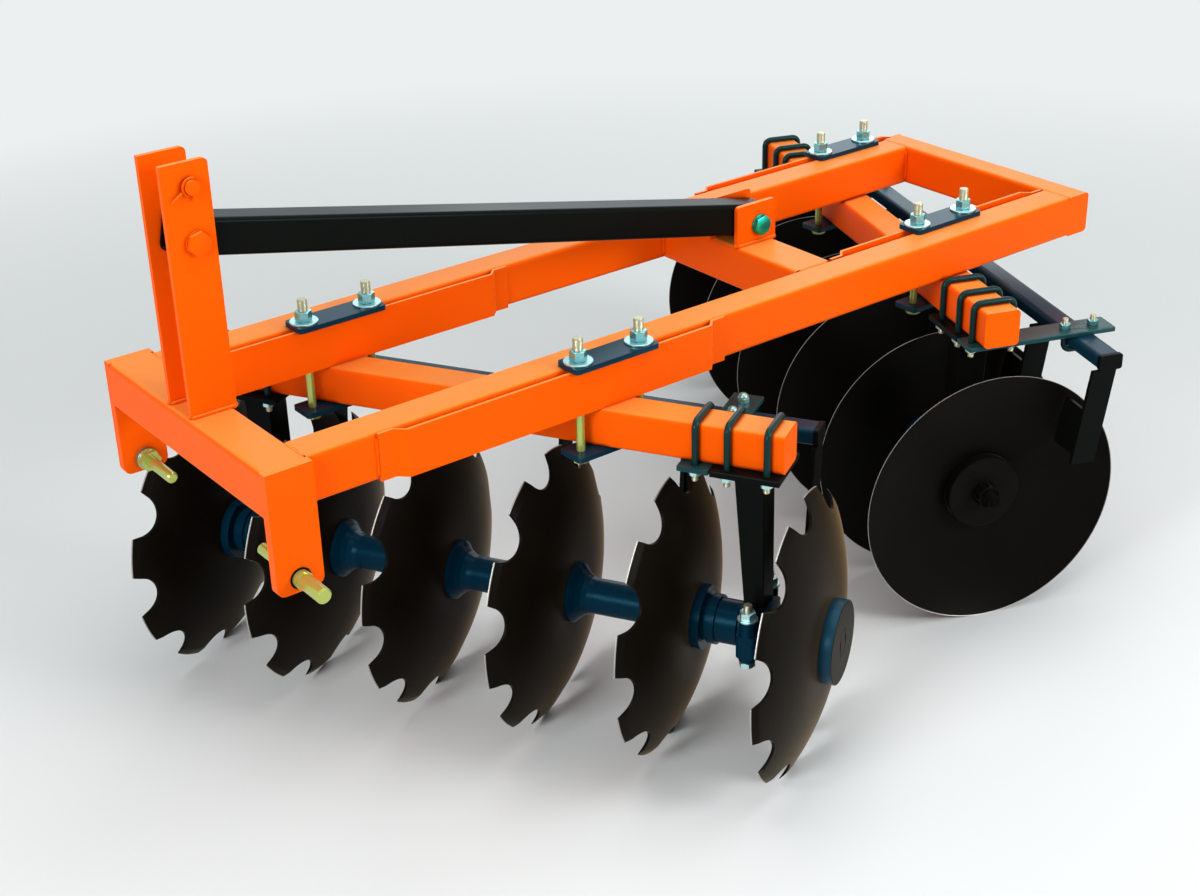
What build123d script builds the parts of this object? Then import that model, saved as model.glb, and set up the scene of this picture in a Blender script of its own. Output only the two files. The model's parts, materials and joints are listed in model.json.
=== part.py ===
from build123d import *
import os
from math import cos, radians, sqrt, tan

# A mounted offset disc harrow: two gangs of six dished blades under a box-tube frame.
# Millimetres, +Z up, front towards -Y, +X is the machine's left-hand side.

# Blades
disc_diameter = 559.0
disc_thickness = 5.0
disc_dish = 58.0
disc_flat_radius = 62.0
disc_bevel = 12.0
disc_edge = 1.2
disc_count = 6
notch_count = 10
notch_radius = 45.5
notch_depth = 42.0
notch_phase = 24.0
disc_turn = 90.0

# Gang shaft, spools and end washers
axle_square = 28.6
axle_clearance = 0.3
axle_thread_diameter = 27.0
axle_thread_length = 46.0
axle_nut_flats = 46.0
axle_nut_thickness = 26.0
axle_head_length = 46.0
axle_head_thickness = 9.0
axle_head_clearance = 1.5
washer_diameter = 160.0
washer_thickness = 25.0
washer_relief = 2.0
spool_radius = 35.0
spool_bell_radius = 59.0
spool_bell_length = 45.0
spool_bell_rim = 7.0
spool_foot_radius = 45.0
spool_foot_length = 14.0
bearing_flange_radius = 62.0
bearing_flange_length = 18.0
bearing_ring_radius = 48.0
bearing_ring_length = 16.0
bearing_groove = 8.0
bearing_barrel_radius = 43.0

# Bearings and the hangers that carry them
journal_radius = 33.0
journal_clearance = 0.05
housing_radius = 48.0
housing_length = 54.0
housing_end_gap = 5.0
housing_lug_reach = 82.0
housing_lug_length = 40.0
housing_lug_height = 46.0
housing_pad_height = 54.0
hanger_top_width = 56.0
hanger_top_depth = 66.0
hanger_foot_width = 38.0
hanger_foot_depth = 60.0
hanger_foot_shift = 12.0
hanger_plate_length = 130.0
hanger_plate_width = 124.0
hanger_plate_thickness = 12.0

# Gang beams and how each gang sits under the frame
gang_beam_size = 76.0
gang_beam_wall = 6.0
gang_beam_low_overhang = 139.0
gang_beam_high_overhang = 66.0
drain_hole_diameter = 12.0
axle_drop = 344.0
front_gang_angle = 30.0
front_gang_y = 540.0
front_hanger_clear = 71.6
front_hanger_reach = 248.3
front_bearing_shift = 8.0
rear_gang_angle = 21.0
rear_gang_setback = 304.0
rear_hanger_clear = 64.7
rear_bearing_shift = 28.0

# Frame tubes
tube_corner = 9.0
tube_wall = 6.0
tube_inner_corner = 3.0
frame_width = 560.0
frame_length = 2045.0
beam_width = 76.0
beam_height = 89.0
front_crossbar_depth = 89.0
middle_crossbar_depth = 98.0
middle_crossbar_setback = 755.0
rear_crossbar_depth = 64.0

# Bolt slots along the beams
strip_thickness = 6.5
slot_width = 17.0
strip_pad = 30.0
strip_end_gap = 3.0
front_left_strip_start = 221.0
front_left_strip_length = 764.0
front_right_strip_inset = 11.0
front_right_strip_length = 725.0
rear_right_strip_inset = 5.0
rear_right_strip_length = 642.0

# Clamps that bolt the gang beams to the slots
clamp_plate_length = 190.0
clamp_plate_width = 60.0
clamp_plate_thickness = 10.0
clamp_plate_corner = 7.0
clamp_bolt_diameter = 15.9
clamp_bolt_spacing = 138.0
clamp_bolt_hole_clearance = 0.4
clamp_bolt_tail = 33.0
clamp_hex_flats = 27.0
clamp_hex_height = 14.0

# U-bolts round the gang beams
u_bolt_diameter = 12.7
u_bolt_gap = 0.4
u_bolt_corner = 16.0
u_bolt_tail = 22.0
u_bolt_spacing = 74.0
u_bolt_hole_clearance = 0.5

# Scrapers behind each gang
scraper_bar_width = 50.0
scraper_bar_height = 32.0
scraper_bar_wall = 5.0
scraper_bar_offset = 198.0
scraper_bar_low_overhang = 82.0
scraper_bar_high_overhang = -19.5
bracket_offset = -97.0
bracket_width = 60.0
bracket_thickness = 10.0
bracket_front_reach = 62.0
bracket_rear_reach = 266.0
scraper_bolt_tail = 22.0
scraper_arm_width = 52.0
scraper_arm_thickness = 9.0
front_arm_offset = 24.0
rear_arm_offset = 77.5
scraper_arm_shift = 12.0
scraper_arm_drop = 203.0
scraper_arm_lean = 30.0
scraper_blade_height = 115.0
scraper_blade_thickness = 6.0
scraper_blade_gap = 8.0

# Hitch
bracket_plate_thickness = 19.0
bracket_plate_height = 229.0
bracket_plate_corner = 16.0
lower_pin_y = 45.0
lower_pin_edge = 25.0
outer_pin_diameter = 28.6
outer_pin_length = 78.0
inner_pin_diameter = 22.2
inner_pin_length = 112.0
pin_shoulder_diameter = 33.0
pin_shoulder_thickness = 12.0
pin_collar_diameter = 42.0
pin_collar_thickness = 12.0
pin_nut_flats = 36.0
pin_nut_thickness = 12.0
pin_chamfer = 3.0
pin_clearance = 0.05
mast_centre_x = -13.0
mast_gap = 68.0
mast_plate_thickness = 10.0
mast_plate_width = 86.0
mast_plate_front = 9.0
mast_plate_corner = 9.0
mast_height = 445.0
top_pin_y = 58.0
top_pin_edge = 41.0
top_pin_diameter = 25.4
top_pin_tail = 14.0
top_pin_head_diameter = 38.0
top_pin_head_thickness = 8.0
brace_width = 66.0
brace_depth = 66.0
brace_corner = 9.0
brace_wall = 5.0
brace_bolt_y = 60.0
brace_bolt_drop = 98.0
brace_lift = 5.0
brace_bolt_diameter = 19.0
brace_bolt_clearance = 0.3
brace_hex_flats = 36.0
brace_hex_height = 13.0
brace_front_overhang = 28.0
brace_rear_overhang = 26.0
lug_width = 104.0
lug_shift = 5.0
lug_height = 85.0
lug_thickness = 10.0
lug_corner = 8.0
lug_bolt_shift = 14.0
lug_bolt_height = 37.0

# Derived places
disc_radius = disc_diameter / 2
axle_z = disc_radius
gang_beam_bottom = axle_drop
frame_bottom = axle_z + axle_drop + gang_beam_size
frame_top = frame_bottom + beam_height
half_width = frame_width / 2
beam_inside = half_width - beam_width
middle_crossbar_y = frame_length - middle_crossbar_setback
hanger_span = (frame_width + front_hanger_clear + front_hanger_reach) / cos(radians(front_gang_angle))
disc_spacing = hanger_span / (disc_count - 2)
slot_centre = slot_width / 2
hub_face = disc_dish + disc_thickness
spool_bore = axle_square / sqrt(2) + axle_clearance
u_bolt_leg = gang_beam_size / 2 + u_bolt_gap + u_bolt_diameter / 2
scraper_bolt_leg = scraper_bar_width / 2 + u_bolt_gap + u_bolt_diameter / 2
scraper_bar_top = gang_beam_bottom - bracket_thickness
scraper_bar_bottom = scraper_bar_top - scraper_bar_height
front_left_strip_end = front_left_strip_start + front_left_strip_length
front_right_strip_start = front_crossbar_depth + front_right_strip_inset
front_right_strip_end = front_right_strip_start + front_right_strip_length
rear_left_strip_start = middle_crossbar_y + middle_crossbar_depth / 2 + strip_end_gap
rear_left_strip_end = frame_length - rear_crossbar_depth - strip_end_gap
rear_right_strip_end = frame_length - rear_right_strip_inset
rear_right_strip_start = rear_right_strip_end - rear_right_strip_length
rear_gang_y = frame_length - rear_gang_setback
lower_pin_drop = bracket_plate_height - lower_pin_edge
top_pin_height = mast_height - top_pin_edge
brace_bolt_height = top_pin_height - brace_bolt_drop
lug_bolt_y = middle_crossbar_y + lug_bolt_shift

frame_nodes = {}
front_gang_nodes = {}
rear_gang_nodes = {}


def tube(length, width, height, wall, corner):
    """Open rounded box tube along +X from x = 0, centred on Y and Z."""
    outer = RectangleRounded(width, height, corner)
    inner = RectangleRounded(width - 2 * wall, height - 2 * wall, tube_inner_corner)
    return extrude(Plane.YZ * (outer - inner), amount=length)


def capped_tube(length, width, height, wall, corner):
    """Box tube along +X closed by end caps, with a drain hole near each end of its underside."""
    shell = extrude(Plane.YZ * RectangleRounded(width, height, corner), amount=length)
    room = RectangleRounded(width - 2 * wall, height - 2 * wall, tube_inner_corner)
    shell -= Pos(wall, 0, 0) * extrude(Plane.YZ * room, amount=length - 2 * wall)
    drain = Pos(0, 0, -height / 2) * Cylinder(drain_hole_diameter / 2, 3 * wall)
    for place in (width, length - width):
        shell -= Pos(place, 0, 0) * drain
    return shell


def rod(diameter, start, end):
    """Round bar along X between two stations."""
    return Pos((start + end) / 2, 0, 0) * Cylinder(diameter / 2, end - start, rotation=(0, 90, 0))


def hexagon(flats, start, end):
    """Hexagonal prism along X between two stations, a flat facing up."""
    outline = Plane.YZ * RegularPolygon(flats / 2, 6, major_radius=False)
    return Pos(start, 0, 0) * extrude(outline, amount=end - start)


def turned(points):
    """Solid of revolution about X from (station, radius) points."""
    outline = make_face(Polyline(*points, close=True))
    return revolve(Plane.XZ * outline, axis=Axis.X)


def plate(x_range, y_range, z_range):
    """Flat bar between the given limits."""
    size = [high - low for low, high in (x_range, y_range, z_range)]
    middle = [(high + low) / 2 for low, high in (x_range, y_range, z_range)]
    return Pos(*middle) * Box(*size)


def blade(notched):
    """Dished blade about X, its rim plane at x = 0 and its hollow side towards -X."""
    swell = ((disc_radius - disc_flat_radius) ** 2 + disc_dish ** 2) / (2 * disc_dish)
    centre = disc_dish - swell

    def on_arc(radius, reach):
        return centre + sqrt(radius ** 2 - (reach - disc_flat_radius) ** 2), reach

    back = swell + disc_thickness
    bevel_start = disc_radius - disc_bevel
    middle_reach = (disc_radius + disc_flat_radius) / 2
    core = axle_square / 4
    hollow = ThreePointArc(
        (disc_dish, disc_flat_radius), on_arc(swell, middle_reach), (0, disc_radius))
    rim = Line((0, disc_radius), (disc_edge, disc_radius))
    bevel = Line((disc_edge, disc_radius), on_arc(back, bevel_start))
    crown = ThreePointArc(
        on_arc(back, bevel_start), on_arc(back, middle_reach), (hub_face, disc_flat_radius))
    hub = Polyline((hub_face, disc_flat_radius), (hub_face, core), (disc_dish, core),
                   (disc_dish, disc_flat_radius))
    solid = revolve(Plane.XZ * make_face([hollow, rim, bevel, crown, *hub.edges()]), axis=Axis.X)
    hole = axle_square + 2 * axle_clearance
    solid -= Pos(hub_face - disc_thickness / 2, 0, 0) * Box(3 * disc_thickness, hole, hole)
    if notched:
        scallop = Cylinder(notch_radius, 2 * disc_dish, rotation=(0, 90, 0))
        scallop = Pos(0, 0, disc_radius - notch_depth + notch_radius) * scallop
        step = 360 / notch_count
        solid -= [Rot(X=notch_phase + step * index) * scallop for index in range(notch_count)]
    return solid


def plain_spool(start, end):
    """Spool between two blades: a bell against the crown, a small foot in the next hollow."""
    waist = start + spool_bell_length
    bell = [(start, spool_bore), (start, spool_bell_radius), (start + spool_bell_rim, spool_bell_radius)]
    depth = spool_bell_radius - spool_radius
    reach = waist - start - spool_bell_rim
    sweep_points = [(start + spool_bell_rim + reach * part, spool_radius + depth * (1 - part) ** 2)
                    for part in (0.25, 0.5, 0.75)]
    foot = [(waist, spool_radius), (end - 2 * spool_foot_length, spool_radius),
            (end - spool_foot_length, spool_foot_radius), (end, spool_foot_radius), (end, spool_bore)]
    return turned(bell + sweep_points + foot)


def bearing_spool(start, end, bearing):
    """Spool that carries a bearing: stepped rings each side of a journal."""
    near = bearing - housing_length / 2 - housing_end_gap
    far = bearing + housing_length / 2 + housing_end_gap
    flange = start + bearing_flange_length
    ring = flange + bearing_groove
    rear_flange = end - bearing_flange_length
    rear_ring = rear_flange - bearing_groove
    return turned([
        (start, spool_bore), (start, bearing_flange_radius), (flange, bearing_flange_radius),
        (flange, bearing_barrel_radius), (ring, bearing_barrel_radius), (ring, bearing_ring_radius),
        (ring + bearing_ring_length, bearing_ring_radius),
        (ring + bearing_ring_length, bearing_barrel_radius), (near, bearing_barrel_radius),
        (near, journal_radius), (far, journal_radius), (far, bearing_barrel_radius),
        (rear_ring, bearing_barrel_radius), (rear_ring, bearing_ring_radius),
        (rear_flange, bearing_ring_radius), (rear_flange, spool_bell_radius),
        (end, spool_bell_radius), (end, spool_bore)])


def end_washer(face, outwards):
    """Heavy end washer seated on a blade's flat, growing outwards (+1 or -1) along X."""
    rim = washer_diameter / 2
    relief = face + outwards * washer_relief
    outer = face + outwards * washer_thickness
    edge = washer_relief
    seat = disc_flat_radius - washer_relief
    return turned([
        (face, spool_bore), (face, seat), (relief, seat), (relief, rim),
        (outer - outwards * edge, rim), (outer, rim - edge), (outer, spool_bore)])


def gang_shaft(low_face, high_face):
    """Square gang bolt with its flat head at the crown end, thread and nut at the hollow end."""
    body = plate((low_face, high_face), (-axle_square / 2, axle_square / 2),
                 (-axle_square / 2, axle_square / 2))
    head = plate((high_face, high_face + axle_head_thickness),
                 (-axle_square / 2, axle_square / 2), (-axle_head_length / 2, axle_head_length / 2))
    thread = rod(axle_thread_diameter, low_face - axle_thread_length, low_face)
    nut = hexagon(axle_nut_flats, low_face - axle_nut_thickness, low_face)
    return body + head + thread + nut


def bearing_housing():
    """Split bearing block round a journal at the origin, with bolt lugs fore and aft."""
    block = Cylinder(housing_radius, housing_length, rotation=(0, 90, 0))
    lugs = Box(housing_lug_length, 2 * housing_lug_reach, housing_lug_height)
    lugs = fillet(lugs.edges().filter_by(Axis.Z), housing_lug_length / 4)
    pad = plate((-housing_length / 2, housing_length / 2),
                (-hanger_foot_depth / 2, hanger_foot_depth / 2), (0, housing_pad_height))
    bore = Cylinder(journal_radius + journal_clearance, 2 * housing_length, rotation=(0, 90, 0))
    return block + lugs + pad - bore


def hanger():
    """Tapered hanger from the bearing pad up to a bolted plate under the gang beam."""
    plate_bottom = gang_beam_bottom - hanger_plate_thickness
    top = Pos(-hanger_foot_shift, 0, plate_bottom) * Rectangle(hanger_top_width, hanger_top_depth)
    foot = Pos(0, 0, housing_pad_height) * Rectangle(hanger_foot_width, hanger_foot_depth)
    seat = plate((-hanger_plate_length / 2, hanger_plate_length / 2),
                 (-hanger_plate_width / 2, hanger_plate_width / 2), (plate_bottom, gang_beam_bottom))
    body = loft([foot, top]) + Pos(-hanger_foot_shift, 0, 0) * seat
    hole = Cylinder(u_bolt_diameter / 2 + u_bolt_hole_clearance, 3 * hanger_plate_thickness)
    for along in (-u_bolt_spacing / 2, u_bolt_spacing / 2):
        for across in (-u_bolt_leg, u_bolt_leg):
            body -= Pos(along - hanger_foot_shift, across, gang_beam_bottom) * hole
    return body


def u_bolt(leg, tail, crown):
    """U-bolt at x = 0 with its legs at y = -leg and leg, from height tail to the bend at height crown."""
    path = FilletPolyline(
        (0, -leg, tail), (0, -leg, crown), (0, leg, crown), (0, leg, tail), radius=u_bolt_corner)
    section = Plane((0, -leg, tail), z_dir=(0, 0, 1)) * Circle(u_bolt_diameter / 2)
    return sweep(section, path=path)


def beam_u_bolt(plate_thickness):
    """U-bolt over the gang beam whose legs run through a plate under the beam."""
    tail = gang_beam_bottom - plate_thickness - u_bolt_tail
    crown = gang_beam_bottom + gang_beam_size + u_bolt_gap + u_bolt_diameter / 2
    return u_bolt(u_bolt_leg, tail, crown)


def scraper_u_bolt():
    """U-bolt under the scraper bar whose legs run up through the bracket."""
    crown = scraper_bar_bottom - u_bolt_gap - u_bolt_diameter / 2
    return u_bolt(scraper_bolt_leg, gang_beam_bottom + scraper_bolt_tail, crown)


def scraper_bracket(side):
    """Flat bar under the gang beam that reaches back over the scraper bar."""
    across = sorted((-side * bracket_front_reach, side * bracket_rear_reach))
    bar = plate((-bracket_width / 2, bracket_width / 2), across, (scraper_bar_top, gang_beam_bottom))
    hole = Cylinder(u_bolt_diameter / 2 + u_bolt_hole_clearance, 3 * bracket_thickness)
    middle = side * scraper_bar_offset
    for place in (-u_bolt_leg, u_bolt_leg, middle - scraper_bolt_leg, middle + scraper_bolt_leg):
        bar -= Pos(0, place, gang_beam_bottom) * hole
    return bar


def scraper(side, offset):
    """Arm under the scraper bar and its upright blade in the hollow of a blade whose rim is at x = 0."""
    low = scraper_bar_bottom - scraper_arm_drop
    half = scraper_arm_width / 2
    middle = side * (scraper_bar_offset - scraper_arm_shift)
    lower = middle - side * scraper_arm_lean
    outline = make_face(Polyline(
        (middle - half, scraper_bar_bottom), (middle + half, scraper_bar_bottom),
        (lower + half, low), (lower - half, low), close=True))
    arm = extrude(Plane.YZ * outline, amount=scraper_arm_thickness / 2, both=True)
    face = scraper_arm_thickness / 2 - offset
    swell = ((disc_radius - disc_flat_radius) ** 2 + disc_dish ** 2) / (2 * disc_dish)
    edge = []
    for share in (0, 0.5, 1):
        height = low + share * scraper_blade_height
        reach = sqrt((abs(lower) + scraper_blade_thickness / 2) ** 2 + height ** 2)
        hollow = disc_dish - swell + sqrt(swell ** 2 - (reach - disc_flat_radius) ** 2)
        edge.append((hollow - scraper_blade_gap, height))
    outline = make_face(Polyline((face, low), *edge, (face, low + scraper_blade_height), close=True))
    tip = extrude(Plane.XZ * outline, amount=scraper_blade_thickness / 2, both=True)
    return Pos(-offset, 0, 0) * arm + Pos(0, lower, 0) * tip


def clamp_bolt():
    """Clamp bolt along Z: hex head under the lower plate, nut and tail over the upper plate."""
    low = gang_beam_bottom - clamp_plate_thickness
    high = gang_beam_bottom + gang_beam_size + beam_height + clamp_plate_thickness
    bottom = low - clamp_hex_height
    top = high + clamp_hex_height + clamp_bolt_tail
    shank = Pos(0, 0, (bottom + top) / 2) * Cylinder(clamp_bolt_diameter / 2, top - bottom)
    prism = extrude(RegularPolygon(clamp_hex_flats / 2, 6, major_radius=False), amount=clamp_hex_height)
    return shank + Pos(0, 0, bottom) * prism + Pos(0, 0, high) * prism


def clamp_plate(low):
    """Clamp plate along Y with its two bolt holes, its underside at height low."""
    outline = RectangleRounded(clamp_plate_width, clamp_plate_length, clamp_plate_corner)
    pad = Pos(0, 0, low) * extrude(outline, amount=clamp_plate_thickness)
    hole = Cylinder(clamp_bolt_diameter / 2 + clamp_bolt_hole_clearance, 4 * clamp_plate_thickness)
    for shift in (-clamp_bolt_spacing / 2, clamp_bolt_spacing / 2):
        pad -= Pos(0, shift, low) * hole
    return pad


def slot_strip(face, outwards, start, end):
    """Jogged flat bar along a beam's side at x = face, standing off outwards (+1 or -1)."""
    ramp = slot_width
    stations = (start, start + strip_pad, start + strip_pad + ramp,
                end - strip_pad - ramp, end - strip_pad, end)
    offsets = (0, 0, slot_width, slot_width, 0, 0)
    inner = [(face + outwards * offset, y) for y, offset in zip(stations, offsets)]
    outer = [(x + outwards * strip_thickness, y) for x, y in inner]
    outline = make_face(Polyline(*inner, *reversed(outer), close=True))
    return Pos(0, 0, frame_bottom) * extrude(outline, amount=beam_height)


def build_frame():
    """Beams, crossbars and slot strips."""
    beam_start = front_crossbar_depth
    beam_length = frame_length - front_crossbar_depth - rear_crossbar_depth
    centre_z = frame_top - beam_height / 2
    beam = tube(beam_length, beam_width, beam_height, tube_wall, tube_corner)
    side = half_width - beam_width / 2
    frame_nodes["left_beam"] = Pos(side, beam_start, centre_z) * (Rot(Z=90) * beam)
    frame_nodes["right_beam"] = Pos(-side, beam_start, centre_z) * (Rot(Z=90) * beam)
    front = tube(frame_width, front_crossbar_depth, beam_height, tube_wall, tube_corner)
    frame_nodes["front_crossbar"] = Pos(-half_width, front_crossbar_depth / 2, centre_z) * front
    middle = tube(2 * beam_inside, middle_crossbar_depth, beam_height, tube_wall, tube_corner)
    frame_nodes["middle_crossbar"] = Pos(-beam_inside, middle_crossbar_y, centre_z) * middle
    rear = tube(frame_width, rear_crossbar_depth, beam_height, tube_wall, tube_corner)
    cap = RectangleRounded(rear_crossbar_depth, beam_height, tube_corner)
    cap = extrude(Plane.YZ * cap, amount=tube_wall)
    rear += [cap, Pos(frame_width - tube_wall, 0, 0) * cap]
    drain = Pos(frame_width / 4, 0, -beam_height / 2) * Cylinder(drain_hole_diameter / 2, 3 * tube_wall)
    rear -= drain
    frame_nodes["rear_crossbar"] = Pos(-half_width, frame_length - rear_crossbar_depth / 2, centre_z) * rear
    frame_nodes["front_slot_strips"] = Compound([
        slot_strip(half_width, 1, front_left_strip_start, front_left_strip_end),
        slot_strip(-beam_inside, 1, front_right_strip_start, front_right_strip_end)])
    frame_nodes["rear_slot_strips"] = Compound([
        slot_strip(beam_inside, -1, rear_left_strip_start, rear_left_strip_end),
        slot_strip(-half_width, -1, rear_right_strip_start, rear_right_strip_end)])


def hitch_bracket(side):
    """Bracket plate on an end of the front crossbar, bored for its lower pin."""
    outline = Rectangle(front_crossbar_depth, bracket_plate_height)
    low_corners = outline.vertices().sort_by(Axis.Y)[:2]
    outline = fillet(low_corners, bracket_plate_corner)
    body = extrude(Plane.YZ * outline, amount=bracket_plate_thickness)
    start = half_width if side > 0 else -half_width - bracket_plate_thickness
    body = Pos(start, front_crossbar_depth / 2, frame_top - bracket_plate_height / 2) * body
    bore = rod(inner_pin_diameter + 2 * pin_clearance, -frame_width, frame_width)
    return body - Pos(0, lower_pin_y, frame_top - lower_pin_drop) * bore


def lower_pin(side):
    """Stepped lower hitch pin: thick end and shoulder outboard, thin end inboard behind a collar and a nut."""
    face = half_width + bracket_plate_thickness
    thick = rod(outer_pin_diameter, face, face + outer_pin_length)
    thick = chamfer(thick.edges().sort_by(Axis.X)[-1], pin_chamfer)
    thick += rod(pin_shoulder_diameter, face, face + pin_shoulder_thickness)
    thin = rod(inner_pin_diameter, half_width - inner_pin_length, face)
    thin = chamfer(thin.edges().sort_by(Axis.X)[0], pin_chamfer)
    collar_face = half_width - pin_collar_thickness
    collar = rod(pin_collar_diameter, collar_face, half_width)
    nut = hexagon(pin_nut_flats, collar_face - pin_nut_thickness, collar_face)
    pin = thick + thin + collar + nut
    if side < 0:
        pin = Rot(Z=180) * pin
    return Pos(0, lower_pin_y, frame_top - lower_pin_drop) * pin


def build_hitch():
    """Hitch brackets and pins, mast, brace and the lugs that hold the brace."""
    for name, side in (("left", 1), ("right", -1)):
        frame_nodes[f"{name}_hitch_bracket"] = hitch_bracket(side)
        frame_nodes[f"{name}_lower_pin"] = lower_pin(side)
    inside = mast_gap / 2
    top_bore = Pos(0, top_pin_y, frame_top + top_pin_height) * rod(
        top_pin_diameter + 2 * pin_clearance, -frame_width, frame_width)
    front_bolt_place = Pos(0, brace_bolt_y, frame_top + brace_bolt_height)
    rear_bolt_place = Pos(0, lug_bolt_y, frame_top + lug_bolt_height)
    bolt_bore = rod(brace_bolt_diameter + 2 * brace_bolt_clearance, -frame_width, frame_width)
    mast = Rectangle(mast_plate_width, mast_height)
    mast = fillet(mast.vertices().sort_by(Axis.Y)[-2:].sort_by(Axis.X)[-1], mast_plate_corner)
    mast = extrude(Plane.YZ * mast, amount=mast_plate_thickness)
    lug = Rectangle(lug_width, lug_height)
    lug = fillet(lug.vertices().sort_by(Axis.Y)[-2:], lug_corner)
    lug = extrude(Plane.YZ * lug, amount=lug_thickness)
    mast_place = Pos(0, mast_plate_front + mast_plate_width / 2, frame_top + mast_height / 2)
    lug_place = Pos(0, middle_crossbar_y + lug_shift, frame_top + lug_height / 2)
    lugs = []
    for name, side in (("left", 1), ("right", -1)):
        mast_x = mast_centre_x + (inside if side > 0 else -inside - mast_plate_thickness)
        lug_x = mast_centre_x + (inside if side > 0 else -inside - lug_thickness)
        solid = mast_place * Pos(mast_x, 0, 0) * mast
        frame_nodes[f"{name}_mast_plate"] = solid - top_bore - front_bolt_place * bolt_bore
        lugs.append(lug_place * Pos(lug_x, 0, 0) * lug - rear_bolt_place * bolt_bore)
    frame_nodes["brace_lugs"] = Compound(lugs)

    run = lug_bolt_y - brace_bolt_y
    fall = brace_bolt_height - lug_bolt_height
    span = sqrt(run ** 2 + fall ** 2)
    brace = tube(span + brace_front_overhang + brace_rear_overhang, brace_width, brace_depth,
                 brace_wall, brace_corner)
    brace = Rot(Z=90) * (Pos(-brace_front_overhang, 0, brace_lift) * brace)
    brace = Plane((mast_centre_x, brace_bolt_y, frame_top + brace_bolt_height), x_dir=(1, 0, 0),
                  z_dir=(0, fall / span, run / span)).location * brace
    frame_nodes["mast_brace"] = brace - front_bolt_place * bolt_bore - rear_bolt_place * bolt_bore

    bolts = []
    for place, thickness in ((front_bolt_place, mast_plate_thickness), (rear_bolt_place, lug_thickness)):
        grip = inside + thickness
        shank = rod(brace_bolt_diameter, -grip - brace_hex_height, grip + brace_hex_height)
        bolt = shank + hexagon(brace_hex_flats, grip, grip + brace_hex_height)
        bolt += hexagon(brace_hex_flats, -grip - brace_hex_height, -grip)
        bolts.append(place * Pos(mast_centre_x, 0, 0) * bolt)
    frame_nodes["brace_bolts"] = Compound(bolts)

    grip = inside + mast_plate_thickness
    pin = rod(top_pin_diameter, -grip - top_pin_tail, grip + top_pin_tail)
    pin += rod(top_pin_head_diameter, -grip - top_pin_head_thickness, -grip)
    frame_nodes["top_link_pin"] = Pos(mast_centre_x, top_pin_y, frame_top + top_pin_height) * pin


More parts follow.
